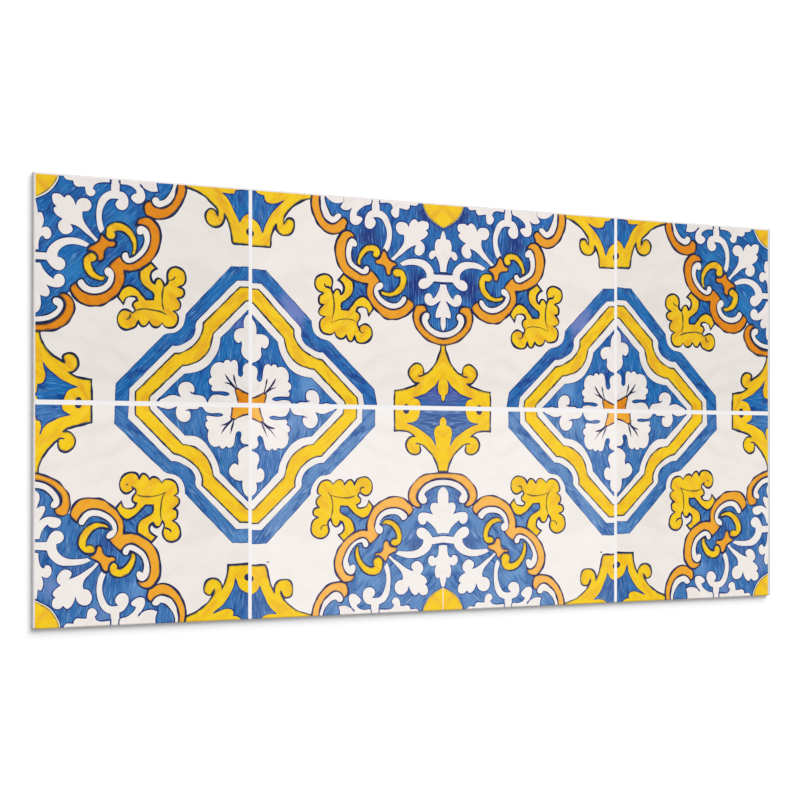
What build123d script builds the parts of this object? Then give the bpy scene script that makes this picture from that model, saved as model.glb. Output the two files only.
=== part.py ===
from build123d import *
import os

# Peel and stick wall panel: a stiff foamed PVC board, printed and laminated on its face.
# The board lies face up on its adhesive back. The origin is at the middle of the back face,
# +X runs along the long side, +Y up the short side, and +Z is the printed face's normal.

# Driving dimensions, in millimetres.
panel_width = 600.0
panel_height = 300.0
board_thickness = 4.0

# Edges: the laminate rolls over the face's rim, the die leaves small plan corners,
# and the knife takes the arris off the back.
face_rim_radius = 1.0
plan_corner_radius = 1.2
back_arris = 0.25

with BuildPart() as panel:
    # The blank, cut to size from sheet stock.
    with BuildSketch(Plane.XY):
        RectangleRounded(panel_width, panel_height, plan_corner_radius)
    extrude(amount=board_thickness)

    # The rolled rim goes all round the printed face.
    face_rim = panel.faces().sort_by(Axis.Z)[-1].edges()
    fillet(face_rim, radius=face_rim_radius)

    # The back keeps a sharp look, with only its arris broken.
    back_rim = panel.faces().sort_by(Axis.Z)[0].edges()
    chamfer(back_rim, length=back_arris)

panel.part.label = "panel"

os.makedirs("parts", exist_ok=True)
export_step(panel.part, "parts/panel.step")
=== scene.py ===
"""Peel and stick wall panel: a foamed PVC board with a painted-tile print under a clear laminate.

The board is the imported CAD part. This script adds the printed face, dresses every surface,
and sets up a plain studio with the camera at the photograph's viewing angle.
"""

import logging
import math
from dataclasses import dataclass, field
from enum import Enum

import bmesh
import bpy
import numpy as np
from mathutils import Matrix, Vector, noise
from mathutils.geometry import delaunay_2d_cdt


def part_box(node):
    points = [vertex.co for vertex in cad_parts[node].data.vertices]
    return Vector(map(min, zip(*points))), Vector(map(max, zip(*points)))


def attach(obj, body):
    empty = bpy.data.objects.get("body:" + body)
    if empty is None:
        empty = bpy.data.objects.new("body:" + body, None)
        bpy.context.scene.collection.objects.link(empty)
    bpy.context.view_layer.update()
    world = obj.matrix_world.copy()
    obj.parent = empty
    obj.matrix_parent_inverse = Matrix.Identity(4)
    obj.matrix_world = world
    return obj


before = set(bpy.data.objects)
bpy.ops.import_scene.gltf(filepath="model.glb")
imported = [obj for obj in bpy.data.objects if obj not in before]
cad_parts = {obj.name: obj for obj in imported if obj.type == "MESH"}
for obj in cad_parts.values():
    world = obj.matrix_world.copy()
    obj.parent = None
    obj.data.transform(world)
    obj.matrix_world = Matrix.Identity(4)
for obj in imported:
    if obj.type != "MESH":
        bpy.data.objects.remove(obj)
log = logging.getLogger("wall_panel")

MM = 0.001

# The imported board, in millimetres, lies with its middle at the origin and its back on the floor.
_, BOARD_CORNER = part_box("panel")
BOARD_WIDTH = round(2 * BOARD_CORNER[0] / MM, 3)
BOARD_HEIGHT = round(2 * BOARD_CORNER[1] / MM, 3)
BOARD_THICKNESS = round(BOARD_CORNER[2] / MM, 3)

# The print's UV maps: the bake's, the place along and across the brush, and the outline's distance.
BAKE_MAP = "OFBake"
BRUSH_MAP = "Brush"
EDGE_MAP = "Edge"

# A smooth curve's handle reaches this share of the way to the next point, and a sharp corner's
# mitre is held back at this cosine.
HANDLE_SHARE = 0.36
MITRE_LIMIT = 0.62

# Where a shape has no outline to darken towards, its distance counts as this many millimetres.
FAR_OFF = 9.0

# The triangulation keeps what lies inside the outlines, and merges points closer than this.
CUT_INSIDE = 1
CUT_TOLERANCE = 1e-5

# The shortest length and the smallest areas that count, and how near the halves' points merge.
TINY = 1e-9
SLIVER = 1e-4
SLIVER_FACE = 1e-13
WELD = 1e-7

# What each shape's and stroke's number is multiplied by, so that no two are brushed alike.
SHAPE_SEED = 7.3
STROKE_SEED = 3.1

# The brush map is in centimetres, and its second part is shifted by this many seeds.
BRUSH_UNIT = 0.1
SEED_SHIFT = 1.7

Point = tuple[float, float]
Colour = tuple[float, float, float]


class Paint(Enum):
    """The printed colours, each a piece of its own."""

    GLAZE = "glaze_ground"
    WHITE = "white_ornament"
    BLUE = "blue_ornament"
    YELLOW = "yellow_ornament"
    ORANGE = "orange_ornament"
    DEEP = "deep_blue_lines"
    CONTOUR = "dark_contours"
    CREASE = "olive_creases"


# How much of a contour lies inside its shape's outline, by paint and by what the shape is.
PAINT_SHARES = {
    Paint.WHITE: 0.15,
    Paint.BLUE: 0.4,
    Paint.GLAZE: 0.0,
    Paint.YELLOW: 0.22,
    Paint.ORANGE: 0.3,
}
PART_SHARES = {"crown": 0.5, "crescent": 0.35, "knot": 0.35, "side_band": 0.08, "inner_frame": 0.45}


@dataclass(frozen=True)
class Motif:
    """One painted shape of the tile, in millimetres from the tile's rosette corner.

    A star after a point marks a corner; the outline is smooth through the others. A shape
    that only one tile has is given in that tile's own millimetres.
    """

    paint: Paint
    name: str
    contour: float
    brush_angle: float
    outline: str
    tiles: str = "ABCD"

    @property
    def warm(self) -> bool:
        """Whether it is one of the yellow and orange shapes."""
        return self.paint in (Paint.YELLOW, Paint.ORANGE)

    @property
    def inner_share(self) -> float:
        """How much of its contour lies inside its outline."""
        parts = (share for part, share in PART_SHARES.items() if part in self.name)
        return next(parts, PAINT_SHARES[self.paint])

    @property
    def line_paint(self) -> Paint:
        """Navy round the warm shapes and the curls beside them, deep blue elsewhere."""
        return Paint.CONTOUR if self.warm or "curl" in self.name else Paint.DEEP


@dataclass(frozen=True)
class Stroke:
    """A single dark brush stroke, in the same millimetres as the motifs."""

    name: str
    width: float
    line: str
    tiles: str = "ABCD"
    paint: Paint = Paint.CONTOUR


MOTIFS = (
    Motif(Paint.BLUE, "field", 0, -45, """
        -3,-3* 99,-3* 98.5,6 95,13 88,20 79,22* 77,28 81,35 82,44 78,51 70,58 60,60* 58,68 53,76 44,82
        35,82 27,77* 22,80 23,89 18,96 9,100.5 -3,101*"""),
    Motif(Paint.BLUE, "crown_field", 0, -45, """
        59,62* 73,60* 71,66 73,71 77,74.5 82,77* 82,82* 75.5,82* 73,79 69,75 64,73 58,74*"""),
    Motif(Paint.WHITE, "diagonal_leaf", 0.8, 45, """
        12.5,14.7 14.7,13.9 17.8,14.4 20.1,16.4* 22.5,14.3 25,15.6 26.9,18.3 27.8,21* 28.9,17.8 31.9,15.8
        35.6,16.1 38.1,18.9 38.1,21.9 35.6,24.4 32.5,24.7* 32.2,26.7 33.3,31.1 36.7,36.1 40,40 43.3,43.3*
        41.7,45* 38.9,42.2 34.4,38.9 30.6,35.8 27.2,34.2 24.2,33.6* 25.6,35.6 25.8,37.8 23.9,39.7 20.8,40.6
        17.8,39.2 16.1,36.4 16.4,33.3 18.9,30.6* 14.7,27.8 13.1,25 13.3,23.6 15,22.5* 13.1,20.8 12.3,18.3"""),
    Motif(Paint.WHITE, "top_scroll", 0.8, 45, """
        51.5,-3* 51.5,9.5* 50,10 46,12.5 43,17 41.6,24 42,32 43.5,37 44.6,38.5* 46.9,35.6* 45.5,30 45.6,24
        47.5,19 50.5,15.5 54.5,14.7 56.7,15* 54.8,17 54.5,19 56,21.2 59,22.2 62.2,20.5 63.5,16 62.5,12.5
        60,10 57.4,9.5* 57.4,-3*"""),
    Motif(Paint.WHITE, "side_scroll", 0.8, 45, """
        -3,53.3* 8.5,53.3* 9.5,50.5 13,46.5 18,43.5 25,42.3 32,43.5 37,46* 35,48.2* 29,47 23,47.2 18.5,49.5
        16,53 15.8,55.5* 19,56.5 21,59.5 20,63 16.5,64.6 12.5,63 9.8,60 8.4,58* -3,58*"""),
    Motif(Paint.WHITE, "top_leaf_left", 0.8, 45, """
        19.5,-3* 19.5,2 21,4 23.5,4.7 26,4.8* 26.5,7 28.5,8.7 31,8.4 34,8.3* 34.2,10.5 35.5,13.5 38,14.3
        40.5,12.8 41,10.8 39.2,9* 40.5,6.5 44,4.8 48,4.3 51,4.2* 51,-3*"""),
    Motif(Paint.WHITE, "top_leaf_right", 0.8, 45, """
        58,-3* 58,4.5 62,4.8 66,6 68.8,8.5 69,10* 66.5,11 65,13.2 66.5,15.5 69.5,17 73,16 75,12.5 74.5,9
        72.5,5.5 70.8,3.6* 74.5,6.5 78,8 81,8.3 84,7.8* 83,3.6 83,-3*"""),
    Motif(Paint.WHITE, "top_leaf_end_b", 0.5, 45, """
        80,-3* 79.6,5* 84,6.5 88,6 92,3.6 94.3,1.5* 94.3,-3*""", "B"),
    Motif(Paint.WHITE, "top_curl", 1.0, 45, """
        94.5,-3* 94.5,2 93.3,6 90.5,10.5 87.5,13.3 85,14* 84,12.3 82,11.6 80,13 79.8,15.5 82,18 85.5,18.6
        90,17 94,13 96.3,7 97.3,2 97.3,-3*"""),
    Motif(Paint.ORANGE, "top_band", 1.5, 45, """
        103.5,-3* 103.5,2.5 103,8 100.5,14 96.5,20 91,24.5 85,26.3 80,26 76,24.5 74.3,21 74.5,17 77,15
        79,14.7* 80,17 82.5,18.7 86,19 91,17 95,12.5 97,7 97.7,2.3 97.7,-3*"""),
    Motif(Paint.ORANGE, "upper_band", 1.5, 45, """
        69,31* 70,28 73.5,26 78,26 82,29 85,34 85.5,40 84,46.5 81,52.5 76.5,57.5 71,61 65,62.7 60.5,62.6*
        61,67 59.5,73 56.5,78 52,82 47,85.5 40,87 33,86 28.5,83 25,78.5 24.5,75 28,72* 29,74.5 32,77.3
        36,79 41,79.5 47,77.7 52,73.8 54,69 53.7,65 50,60* 53,56.5 57.5,53* 60,56.3 63,57.8 67,57 71,54.5
        75,50.5 77.5,46 78.7,40 78,35.5 76,32.3 72.5,31*"""),
    Motif(Paint.ORANGE, "side_band_a", 1.3, 45, """
        -3,104.9* -3,100.6* 0,100.7 4.4,100.6 8.2,100.1 11.9,98.8 14.9,96.9 17.9,94.3 20.1,91.3 21.1,88.7
        21.3,86.8 20.9,85 19.8,83.1 18.3,81.8 16.9,80.9* 17.9,79.9 19.4,79.6 21.3,80.1 23.9,81.6 25.8,83.9
        26.6,86.5 26.7,89.1 26.1,92.1 24.8,95.1 23.1,97.7 20.5,100.3 17.5,102 13.8,103.3 10.1,104.1
        6.3,104.6 2.6,104.8""", "A"),
    Motif(Paint.ORANGE, "side_band_b", 1.2, 45, """
        -3,104.8* -3,101.1* 0,101 3.7,100.1 7.5,98.8 11.2,96.7 14.2,94.7 16.8,92.1 18.7,89.1 19.4,86.5
        19.1,84.2 17.6,82.4 15.7,81 13.8,80.5* 14,79 15.3,77.1 17.6,76.6 19.8,76.6 22.1,77.1* 23,79.4
        23.9,82 24.1,84.6 23.7,88 22.8,91 20.9,93.9 18.3,96.9 15,99.7 11.2,102 7.5,103.5 3.7,104.4
        1.9,104.7""", "B"),
    Motif(Paint.ORANGE, "side_band_c", 1.2, 45, """
        -3,101.9* -3,98* 1.1,97.8 4.4,97.3 8.2,96.2 11.9,94.1 14.9,91.9 17.2,89.5 18.7,86.8 19.2,84.2
        18.7,81.6 17.3,79.9 15.7,79 14.5,77.9* 14.7,76.4 16,74.9 18.3,74.1 20.5,74.2 22.4,74.9* 23.3,77.5
        23.9,80.1 24,83.1 23.5,86.1 22.4,89.1 20.5,91.7 18.3,94.1 14.9,96.7 11.2,98.6 7.4,99.9 4.4,100.9
        1.8,101.6""", "C"),
    Motif(Paint.ORANGE, "side_band_d", 1.1, 45, """
        -3,100.7* -3,97.5* 0,97.5 3.7,97.3 7.5,96.7 11.2,95.4 15,93.4 17.9,91 20.6,88 21.9,85 22.1,83.1
        21.5,81.2 20.2,79.4 18.9,78.1* 18.7,76.7 20.2,76.2 22.1,76.6 24.3,77.9 26.2,79.7 27.5,82 27.9,84.6
        27.3,87.6 26,90.6 23.9,93.6 21.3,96.2 17.9,98.4 14.2,99.7 10.5,100.3 7.5,100.5 3.7,100.6""", "D"),
    Motif(Paint.WHITE, "side_curl_a", 0.9, 45, """
        -3,99* -3,95.7* 1.1,95.6 4.4,95.3 8.2,94.5 11.2,93.2 13.4,91.7 15.3,90 16,88.5* 14.9,87.8 13.6,87
        12.7,85.7 12.6,84.2 13.4,82.8 14.9,82.4 16.6,82.7 18.3,83.7 19.4,85.3 19.7,87.2 19.2,89.5 17.9,91.9
        15.7,94.3 13,96.2 10.1,97.5 6.7,98.4 2.6,98.9""", "A"),
    Motif(Paint.WHITE, "side_curl_b", 0.9, 45, """
        -3,99.5* -3,95.7* 0,95.5 3.7,94.9 7.5,93.4 10.1,91.7 11.6,90 12.5,88 12.7,87* 11.6,85.9 11,84.2
        11.4,82.4 12.7,81.5 14.2,81.6 16.1,82.9 17.2,85 17.4,87.2 16.8,89.5 15.3,92.1 13.1,94.5 10.1,96.7
        6.7,98.4 3,99.3 0,99.5""", "B"),
    Motif(Paint.WHITE, "side_curl_c", 0.9, 45, """
        -3,96.7* -3,92.4* 1.1,92.3 4.4,91.9 7.1,91 9.7,89.1 11.9,86.8 13,85 13.4,84* 12.1,82.7 11.5,81.2
        11.7,79.9 13,79 14.7,79.2 16.4,80.3 17.3,82.4 17.3,84.6 16.4,87.2 14.5,89.8 11.9,92.4 8.9,94.5
        5.6,95.8 1.8,96.5""", "C"),
    Motif(Paint.WHITE, "side_curl_d", 0.9, 45, """
        -3,96* -3,92.1* 0,92 3.7,91.7 7.5,90.8 11.2,89.1 13.8,87.4 15.3,85.7* 14.6,84.4 13.5,83.1 13.1,81.2
        13.6,79.6 15,78.7 16.8,78.6 18.7,79.7 20,81.6 20.3,83.9 19.6,86.1 17.9,89.1 15.3,91.7 12.3,93.6
        8.6,94.9 4.9,95.7 0,96""", "D"),
    Motif(Paint.WHITE, "side_leaf_upper", 0.8, 45, """
        -3,18.5* 1.4,19* 2.2,23 3,27.6* 4,26.8 5.2,27.1 6.3,29.3 6.8,32 6.4,34.5 5.3,37.2* 8.3,36.2
        10.5,37.3 11.8,40 11.3,42.8 9.5,44.4 7.5,44.3 6.3,42.4* 4.7,43.2 3.7,45.5 3.3,49 3.3,51.6*
        -3,51.6*""", "ACD"),
    Motif(Paint.WHITE, "side_leaf_upper_b", 0.8, 45, """
        -3,15* 0,20.4* 1.1,22 1.9,24.4 2.6,27.3* 3.6,26.9 5.3,27.6 6.6,30 7,33.3 6.8,35.7* 8.3,35.7
        9.7,36.1 11.4,38.3 11.8,40.6 10.8,42.2 9.2,42.5 7.8,41.4 6.4,39.7* 5.2,41 4,43.5 3,47 2.6,51.3*
        -3,51.3*""", "B"),
    Motif(Paint.WHITE, "side_leaf_lower", 0.8, 45, """
        -4.3,59.9* 4.5,60.2* 5.5,62.5 7.5,65.5 10,68 13.2,70.3* 13.8,68.3 15.5,67 17.5,66.8 19.5,68 20.5,70
        20.5,72.5 19,74.8 16,75.9 12.5,75.7 10,75 8.3,74.4* 9.8,76.2 10.6,78.2 10.3,80.8 8.8,82.2 6.5,82
        4.5,81.2* 4.8,84 5,87 4.3,90 2.8,92.3 0,93.5 -2.8,92.3 -4.3,90*""", "ACD"),
    Motif(Paint.WHITE, "side_leaf_lower_b", 0.8, 45, """
        -3,60.2* 2.6,60.3* 3.2,63.5 5.3,67.7 7.4,70.4 8.6,71* 9.2,69 11,67.4 13.3,67.4 15,69.2 15.4,71.9
        14.3,74.7 11.8,76.3 9,76.4 6.3,75.2 3.5,73.3 2,72.5* 3.5,74.8 5.3,79 6.3,82.5 6.1,84.8 5.6,85.3*
        3.8,85 2,84.5* 2.2,87 2.1,90.5 1.4,93 0,94.8* -3,97*""", "B"),
    Motif(Paint.WHITE, "upper_curl", 1.0, 45, """
        69,35.5 70,32.5 72.5,31.7 75.5,33 77.7,36 78.3,40 77,45.5 74.5,50 70.5,54 66.5,56.5 63,57.2 60,55.5
        59,52.5 60.5,50.3 62.8,50.5 63.5,52.5 64,54* 67,52.8 70.5,49.5 73,46 74.5,41 73.5,37* 71.5,38
        69.5,37.2"""),
    Motif(Paint.WHITE, "lower_curl", 1.0, 45, """
        47,64 48,61.5 50.5,61 53.3,64 53.5,68 51.5,73 47,77 41,78.8 35,78 30.5,75 29,72 30.5,70 32.5,69.8
        34,72 36.5,74 41,74.5 46,73 49,70 50,67.3* 48.5,66.5"""),
    Motif(Paint.ORANGE, "knot", 1.4, 45, """
        45.5,39* 47.5,41 50,43 54,43.2 55,45 53.5,47 50,47.5 47.5,49.5 47,52 46.5,55.5 44,57 42,56 41,52
        38,50.5 35.5,50.5* 37,47.5 41,45.5 43.5,43 44.5,40""", "A"),
    Motif(Paint.YELLOW, "upper_crescent", 1.2, 45, """
        48,38 48.5,34.5 51.5,31.5 56.5,30.3 62,32 66.5,36 69.3,42 69.3,47 68,51.5* 65.5,52* 66.3,47
        65.3,42.5 62.5,38.5 58.5,36.3 55.5,36.5 54,37* 55,39 54,41.5 51.5,42.5 49,41.5 47.8,39""", "A"),
    Motif(Paint.YELLOW, "lower_crescent", 1.2, 45, """
        36,52.3 33.2,55.5 32.8,60 34.5,65 38.5,68.5 43,70 46.5,70* 48,66.8* 44,66.5 41,64.5 39,61 38.2,58*
        40.5,57.5 42.3,55 41,52.3 38.5,51.3""", "A"),
    Motif(Paint.ORANGE, "knot_b", 1.3, 45, """
        47.9,37.7* 49.5,39.5 50.5,42.3 51.9,44.4 54.2,45.2 55,46.4 54.4,47.6 52.8,48.4 50.5,48.5 48.6,49
        47.1,50.3 46.6,52.2 46,54.5 44.5,55.9 42.8,55.4 42.3,53.5 41.5,50.7 39.5,48.9 37.4,48.3* 38.8,46.5
        41.1,45.7 43.5,44.4 45.1,42.1 46,39.8""", "B"),
    Motif(Paint.YELLOW, "upper_crescent_b", 1.2, 45, """
        50.8,40 51.2,37.7 52.3,36 54.2,34.8 57,34.2 59.4,34.4 62.2,35.3 64.5,37 66.8,40 68.2,43.3 69.1,46.1
        69.2,47.9 68.7,49.6* 66.1,49.8* 66.1,46.5 65.4,45.1 64,43.3 62.6,41.6 60.8,40 58.9,39.2 56.5,39.5*
        57.1,40.9 56.8,42.4 55.7,43.6 54.2,43.8 52.3,42.9 51.2,41.6""", "B"),
    Motif(Paint.YELLOW, "lower_crescent_b", 1.2, 45, """
        39.2,50.8 36.9,50.5 34.6,50.8 32.2,52.1 30.4,54.5 29.6,57.8 29.8,60.6 30.8,63.4 32.7,66.2 35,68.7
        37.4,70.1 40.2,71 43.5,71.3 46.3,71.1 49.1,70.5 50,70.1* 50.9,67.6* 50,67.2 48.1,67.6 45.8,68.1
        43.5,68.1 40.7,67.1 38.3,65.2 36.5,62.9 35.4,60.6 35,58.2 35.2,56.4* 36.5,56.9 38.3,57 40,56.3
        41,54.7 41.1,52.9 40.4,51.5""", "B"),
    Motif(Paint.ORANGE, "knot_c", 1.3, 45, """
        47.6,36.1* 49.7,36.6 50.2,38.6 50.9,41 52.3,42.4 54.4,43.1 55.1,44 54.4,45.4 52.8,46.1 50.4,46.1
        48.1,47.1 46.7,48.5 46.2,50.8 45.3,52.9 43.9,53.7 42.5,53.1 42,51.3 41.3,49.2 39.7,47.4 37.3,46.8*
        38.5,45.4 40.6,44.3 42.9,43.1 44.6,41.4 45.5,38.6""", "C"),
    Motif(Paint.YELLOW, "upper_crescent_c", 1.2, 45, """
        50.7,38.6 50.9,36.3 51.8,34.4 53.7,33 56.5,32.1 58.8,32.1 61.6,33 64,34.4 66.3,37.2 67.7,40
        68.6,42.9 68.8,45.7 68.4,47.5 67.2,48.4 65.6,48.1* 65.2,46.1 64.7,44.3 63.3,41.9 61.6,40 59.8,38.6
        57.9,37.9 56.3,38.1* 56.6,39.1 56,40.8 54.6,42.1 52.8,42.1 51.4,40.8""", "C"),
    Motif(Paint.YELLOW, "lower_crescent_c", 1.2, 45, """
        39.2,48.7 36.9,48.4 34.1,49 31.7,50.8 30.1,53.6 29.6,56.4 30.1,59.2 31.5,62 34.1,65.3 36.9,67.4
        39.7,68.6 42.5,69.1 45.8,68.7 48.6,67.7 49.7,66.9* 50.9,64.6* 49.5,64.8 47.6,65.3 45.3,65.6
        42.5,65.1 39.7,63.4 37.6,61.1 36.2,58.7 35.4,56.4 35.2,53.7* 36.4,54.3 38,54.3 40,53.5 41.1,52
        41.1,50.3 40.4,49.3""", "C"),
    Motif(Paint.ORANGE, "knot_d", 1.2, 45, """
        46.7,37* 48.1,38.6 50,40.5 52.3,41.7 54.7,41.7 54.9,42.9 53.3,43.8 51.4,43.8 49.5,44.5 48.6,46.1
        48.4,48.5 48.1,50.3 47,52 45.1,52.4 44.2,51.3 43.5,49.4 41.8,47.8 39.5,47.4 37.4,47.1* 38.1,44.7
        40.2,43.6 43,42.4 44.6,40.5 45.6,38.2""", "D"),
    Motif(Paint.YELLOW, "upper_crescent_d", 1.2, 45, """
        48.5,37.2 48.8,34 49.4,31.6 50.9,29.5 53.3,28.1 56.5,27.6 59.8,28.2 63.1,29.8 65.9,32.6 68.2,35.8
        69.9,39.6 70.5,43.3 70.3,46.1 69.6,48.5* 67.5,48.9* 67.7,46.1 67.2,43.3 65.9,40 64,37.2 61.7,35.1
        59.4,34 57,33.6 55.6,34* 56.3,35.8 56.2,38.2 54.9,40 52.8,40.8 50.5,40.1 49.1,38.6""", "D"),
    Motif(Paint.YELLOW, "lower_crescent_d", 1.2, 45, """
        39.5,48.2 37.4,48.5 35.5,49.4 34.1,51.3 33.5,53.6 33.5,56.4 34.2,59.2 35.5,62 37.4,64.3 39.7,66.2
        42.5,67.3 45.3,67.6 47.7,67.1* 49.3,64.8 49.8,63.9* 48.1,64.1 45.8,64.1 43.5,63.4 41.1,61.8
        39.5,59.7 38.3,57.3 37.8,55 37.9,53.7* 39.5,53.7 41.4,52.9 42.5,51.5 42.5,49.9 41.4,48.6""", "D"),
    Motif(Paint.YELLOW, "crown", 1.35, 45, """
        79,56* 83,60* 81,61 79,63.5 79,67 80.5,69.5 81.5,70* 82.5,67.5 84.8,66.5 87,68 88.3,71.5* 90.5,69
        90.3,64 91.5,60.5 95,58.3 99,58.8 102.5,61.5 103.5,66 102,70 98,71.8* 101.5,73 102.5,75.5 101,78.5
        97.5,79.5* 99.5,82 99.8,85 97.5,87.8 94.5,88.2* 97.5,90.5 98,94.5 96,98.5 92,99.8 88.5,99
        86.8,96.8* 85,99 81.5,99.8 78.8,98 77.8,96* 75.5,99 73,99.5 71,97.5 70.3,95.8* 68.5,99.5 65,101.5
        61,102 57,99.5 55.8,95.5 57,91 60.5,88.5 63.5,89 66.5,90.5* 68,88.5 66.3,86 67,83.5 69.5,82*
        68.5,80 65,79.8 62,81 60,85* 56,80* 60,74 64,72.3 69,74 73,78 75.5,81* 80.5,81* 80.5,77 77,74.5
        73,71 71,66 71,62*"""),
    Motif(Paint.YELLOW, "top_cartouche_a", 1.3, 45, """
        103,-3* 103.5,3.3* 107.1,4 112.1,5.6 116.6,8.2 120.4,11.4 123.5,14.2 125.4,16 126.3,18.3
        126.4,21.4* 125.4,20.1 124.6,18.3 123.2,17.1 121,16.9 119.1,18.3 117.8,20.6 117.7,23.3 119.1,26.7
        121.6,28.6 124.3,29.2 127.7,27.8 129.9,25.3 131,22.2 131.2,19.6* 132.4,21.9 134.3,26.7 135.7,31.1
        136.6,35.6 137.1,38.9 137.9,39.6* 148.2,40* 153,40* 153,-3*""", "A"),
    Motif(Paint.BLUE, "top_cartouche_blue_a", 0.8, 85, """
        129.6,5.3* 134,6 138.8,5.6* 139.2,3.6 142,2.9 144.6,2.3 145.2,1.4* 149,0.9* 153,0.9* 153,18*
        148.2,18.3 146,19.2 144.1,21.4 142.2,24.6* 139.9,20.6 137.7,16.1 135.7,11.9 133.8,8.9
        131.6,6.7""", "A"),
    Motif(Paint.CONTOUR, "top_cartouche_dot_a", 0, 85, """
        149,28.2 147.6,28.9 146.8,31 147.6,33 149,33.7 152,33.7* 152,28.2*""", "A"),
    Motif(Paint.YELLOW, "top_cartouche_b", 1.3, 45, """
        104,-3* 104.6,4.7* 108.2,5.3 113.2,7.2 117.7,10.3 121,13.3 123.8,16.7 125.3,20 125.3,23.9*
        124.1,22.2 122.7,20.3 120.4,20 118.5,20.8 117.7,23.3 118.2,27.2 120.7,30.6 124.3,31.9 127.7,31.1
        129.9,28.9 130.8,26.1 130.4,23.9* 132.4,26.7 134.1,30.6 134.9,35 135.4,39.7 135.7,40.6* 148.5,40.6*
        153,40.6* 153,-3*""", "B"),
    Motif(Paint.BLUE, "top_cartouche_blue_b", 0.8, 85, """
        125.2,7.5* 127.7,8.9 131,10 135.4,10.6 138.8,9.7 140,7.8 140.3,5.3* 142.7,4.7 144.9,3.9 146.8,1.9*
        150,1* 153,1* 153,20.5* 148.5,21.4 145.4,23.3 143.2,26.1 141.6,29.5 141,31* 139.9,26.7 137.7,22.2
        134.3,16.7 131,12.8 128.3,10""", "B"),
    Motif(Paint.CONTOUR, "top_cartouche_dot_b", 0, 85, """
        149.5,29.6 148.2,30.3 147.3,32.2 148,34 149.5,34.8 152,34.8* 152,29.6*""", "B"),
    Motif(Paint.YELLOW, "top_cartouche_c", 1.3, 45, """
        103,-3* 103.8,3.6* 107.1,5 111.6,6.9 115.4,9.4 118.8,12.2 121.6,15.3 123.2,17.8 123.9,20
        124.1,21.7* 122.9,19.7 121.6,18.3 119.3,18.3 117.4,19.7 116.7,21.9 117.1,24.4 118.8,27.5 121.6,29
        124.3,29 127.1,27.8 128.9,25.6 129.6,22.8 129.6,21.7* 131,24.4 132.4,27.8 133.5,31.7 134.1,35.6
        134.3,37.8* 147.9,38.2* 153,38.2* 153,-3*""", "C"),
    Motif(Paint.BLUE, "top_cartouche_blue_c", 0.8, 85, """
        123.2,5.3* 125.7,6.5 129.3,7.7 133.2,8.3 136.6,7.8 138.2,6.4 138.3,4.4 137.9,3.3* 140.4,3.1
        142.7,1.9 143.8,0.9* 145,-3* 153,-3* 153,16.5* 147.9,18.1 144.9,19.7 142.4,21.7 140.4,25
        139.4,28.3* 138.8,24.4 137.1,20.6 134.3,15.6 131,11.5 127.7,8.6 125.3,6.9""", "C"),
    Motif(Paint.CONTOUR, "top_cartouche_dot_c", 0, 85, """
        148.5,26.7 146.8,27.3 145.6,29.3 146.5,31.2 148.5,31.9 152,31.9* 152,26.7*""", "C"),
    Motif(Paint.YELLOW, "top_cartouche_d", 1.3, 45, """
        103.6,-3* 104.1,1.1* 106.6,1.9 111,3.1 115.4,5 119.3,7.5 122.7,10.3 125.2,13.3 126.8,16.4
        127.2,18.9* 126.3,16.9 124.6,14.7 122.1,14.2 119.9,15 118.5,17.2 118.3,20.3 119.3,23.9 121.8,26.4
        124.9,26.9 128.2,26.1 130.7,23.9 131.8,21.1 131.8,17.5* 133.8,21.1 135.7,26.1 137.1,31.1 137.9,35
        138.8,37.2* 149.1,37.2* 153,37.2* 153,-3*""", "D"),
    Motif(Paint.BLUE, "top_cartouche_blue_d", 0.8, 85, """
        130.4,3.1* 133.2,3.4 136.6,3.1 139.3,2.5 141.6,0.9* 142,-3* 153,-3* 153,15.5* 149.1,16.7 146,18.3
        144.1,20.3 142.7,22.7* 141.3,18.9 138.8,13.9 136.6,9.4 134.3,6.4 132.1,4.6""", "D"),
    Motif(Paint.CONTOUR, "top_cartouche_dot_d", 0, 85, """
        150,25.7 148.3,26.4 147.3,28.2 148.2,30 150,30.7 152,30.7* 152,25.7*""", "D"),
    Motif(Paint.YELLOW, "side_cartouche_a", 1.2, 45, """
        -3,105.3* 3.9,105.3* 4.2,107.4 5,110.4 6.7,113.8 9.2,117.1 11.9,120.2 15,122.4 18.3,124.3
        20.7,125.4* 20,123.2 19.6,121.6 20.8,119.9 23.3,119.1 26.1,119.6 28.3,121.6 29.4,124.3 29.2,127.4
        27.5,129.9 25,131.3 23.1,131.4* 25,132.7 27.8,134.3 31.1,135.4 35,136 38.3,136.1* 38.5,149.3
        38.6,153* -3,153*""", "A"),
    Motif(Paint.BLUE, "side_cartouche_blue_a", 0.9, 5, """
        6.4,125.2* 8.3,128.2 11.7,131.6 15.6,134.6 19.4,137.1 23.9,139.3 29.2,141.1* 26.1,141.8 23.3,142.9
        21.4,144.9 20,147.7 19.4,149.3 19,153* 3,153* 3,149.3 1.4,146.3* 2.6,144.9 2.9,142.1 3.2,139.9*
        5.6,139.6 7.5,137.9 8.3,135.4 8.2,132.1 7.2,128.8""", "A"),
    Motif(Paint.CONTOUR, "side_cartouche_dot_a", 0, 5, """
        30,147.6 28.4,148.3 27.7,150 27.7,153* 32,153* 32,150 31.5,148.4""", "A"),
    Motif(Paint.YELLOW, "side_cartouche_b", 1.1, 45, """
        -3,105* 1.7,105* 1.9,108.8 3.1,112.1 4.4,115.4 6.7,119.3 9.4,122.9 12.2,125.4 16.1,126.9* 16,124.9
        16.1,122.9 17.5,120.4 20,119.1 22.8,119.3 25.6,121 27.5,123.2 28.1,126 27.2,128.8 25.3,131.3
        22.8,132.8 19.4,132.9* 22.2,134.9 27.2,136.8 32.8,138.2 39.2,139.1* 39.6,149.3 39.8,153*
        -3,153*""", "B"),
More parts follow.
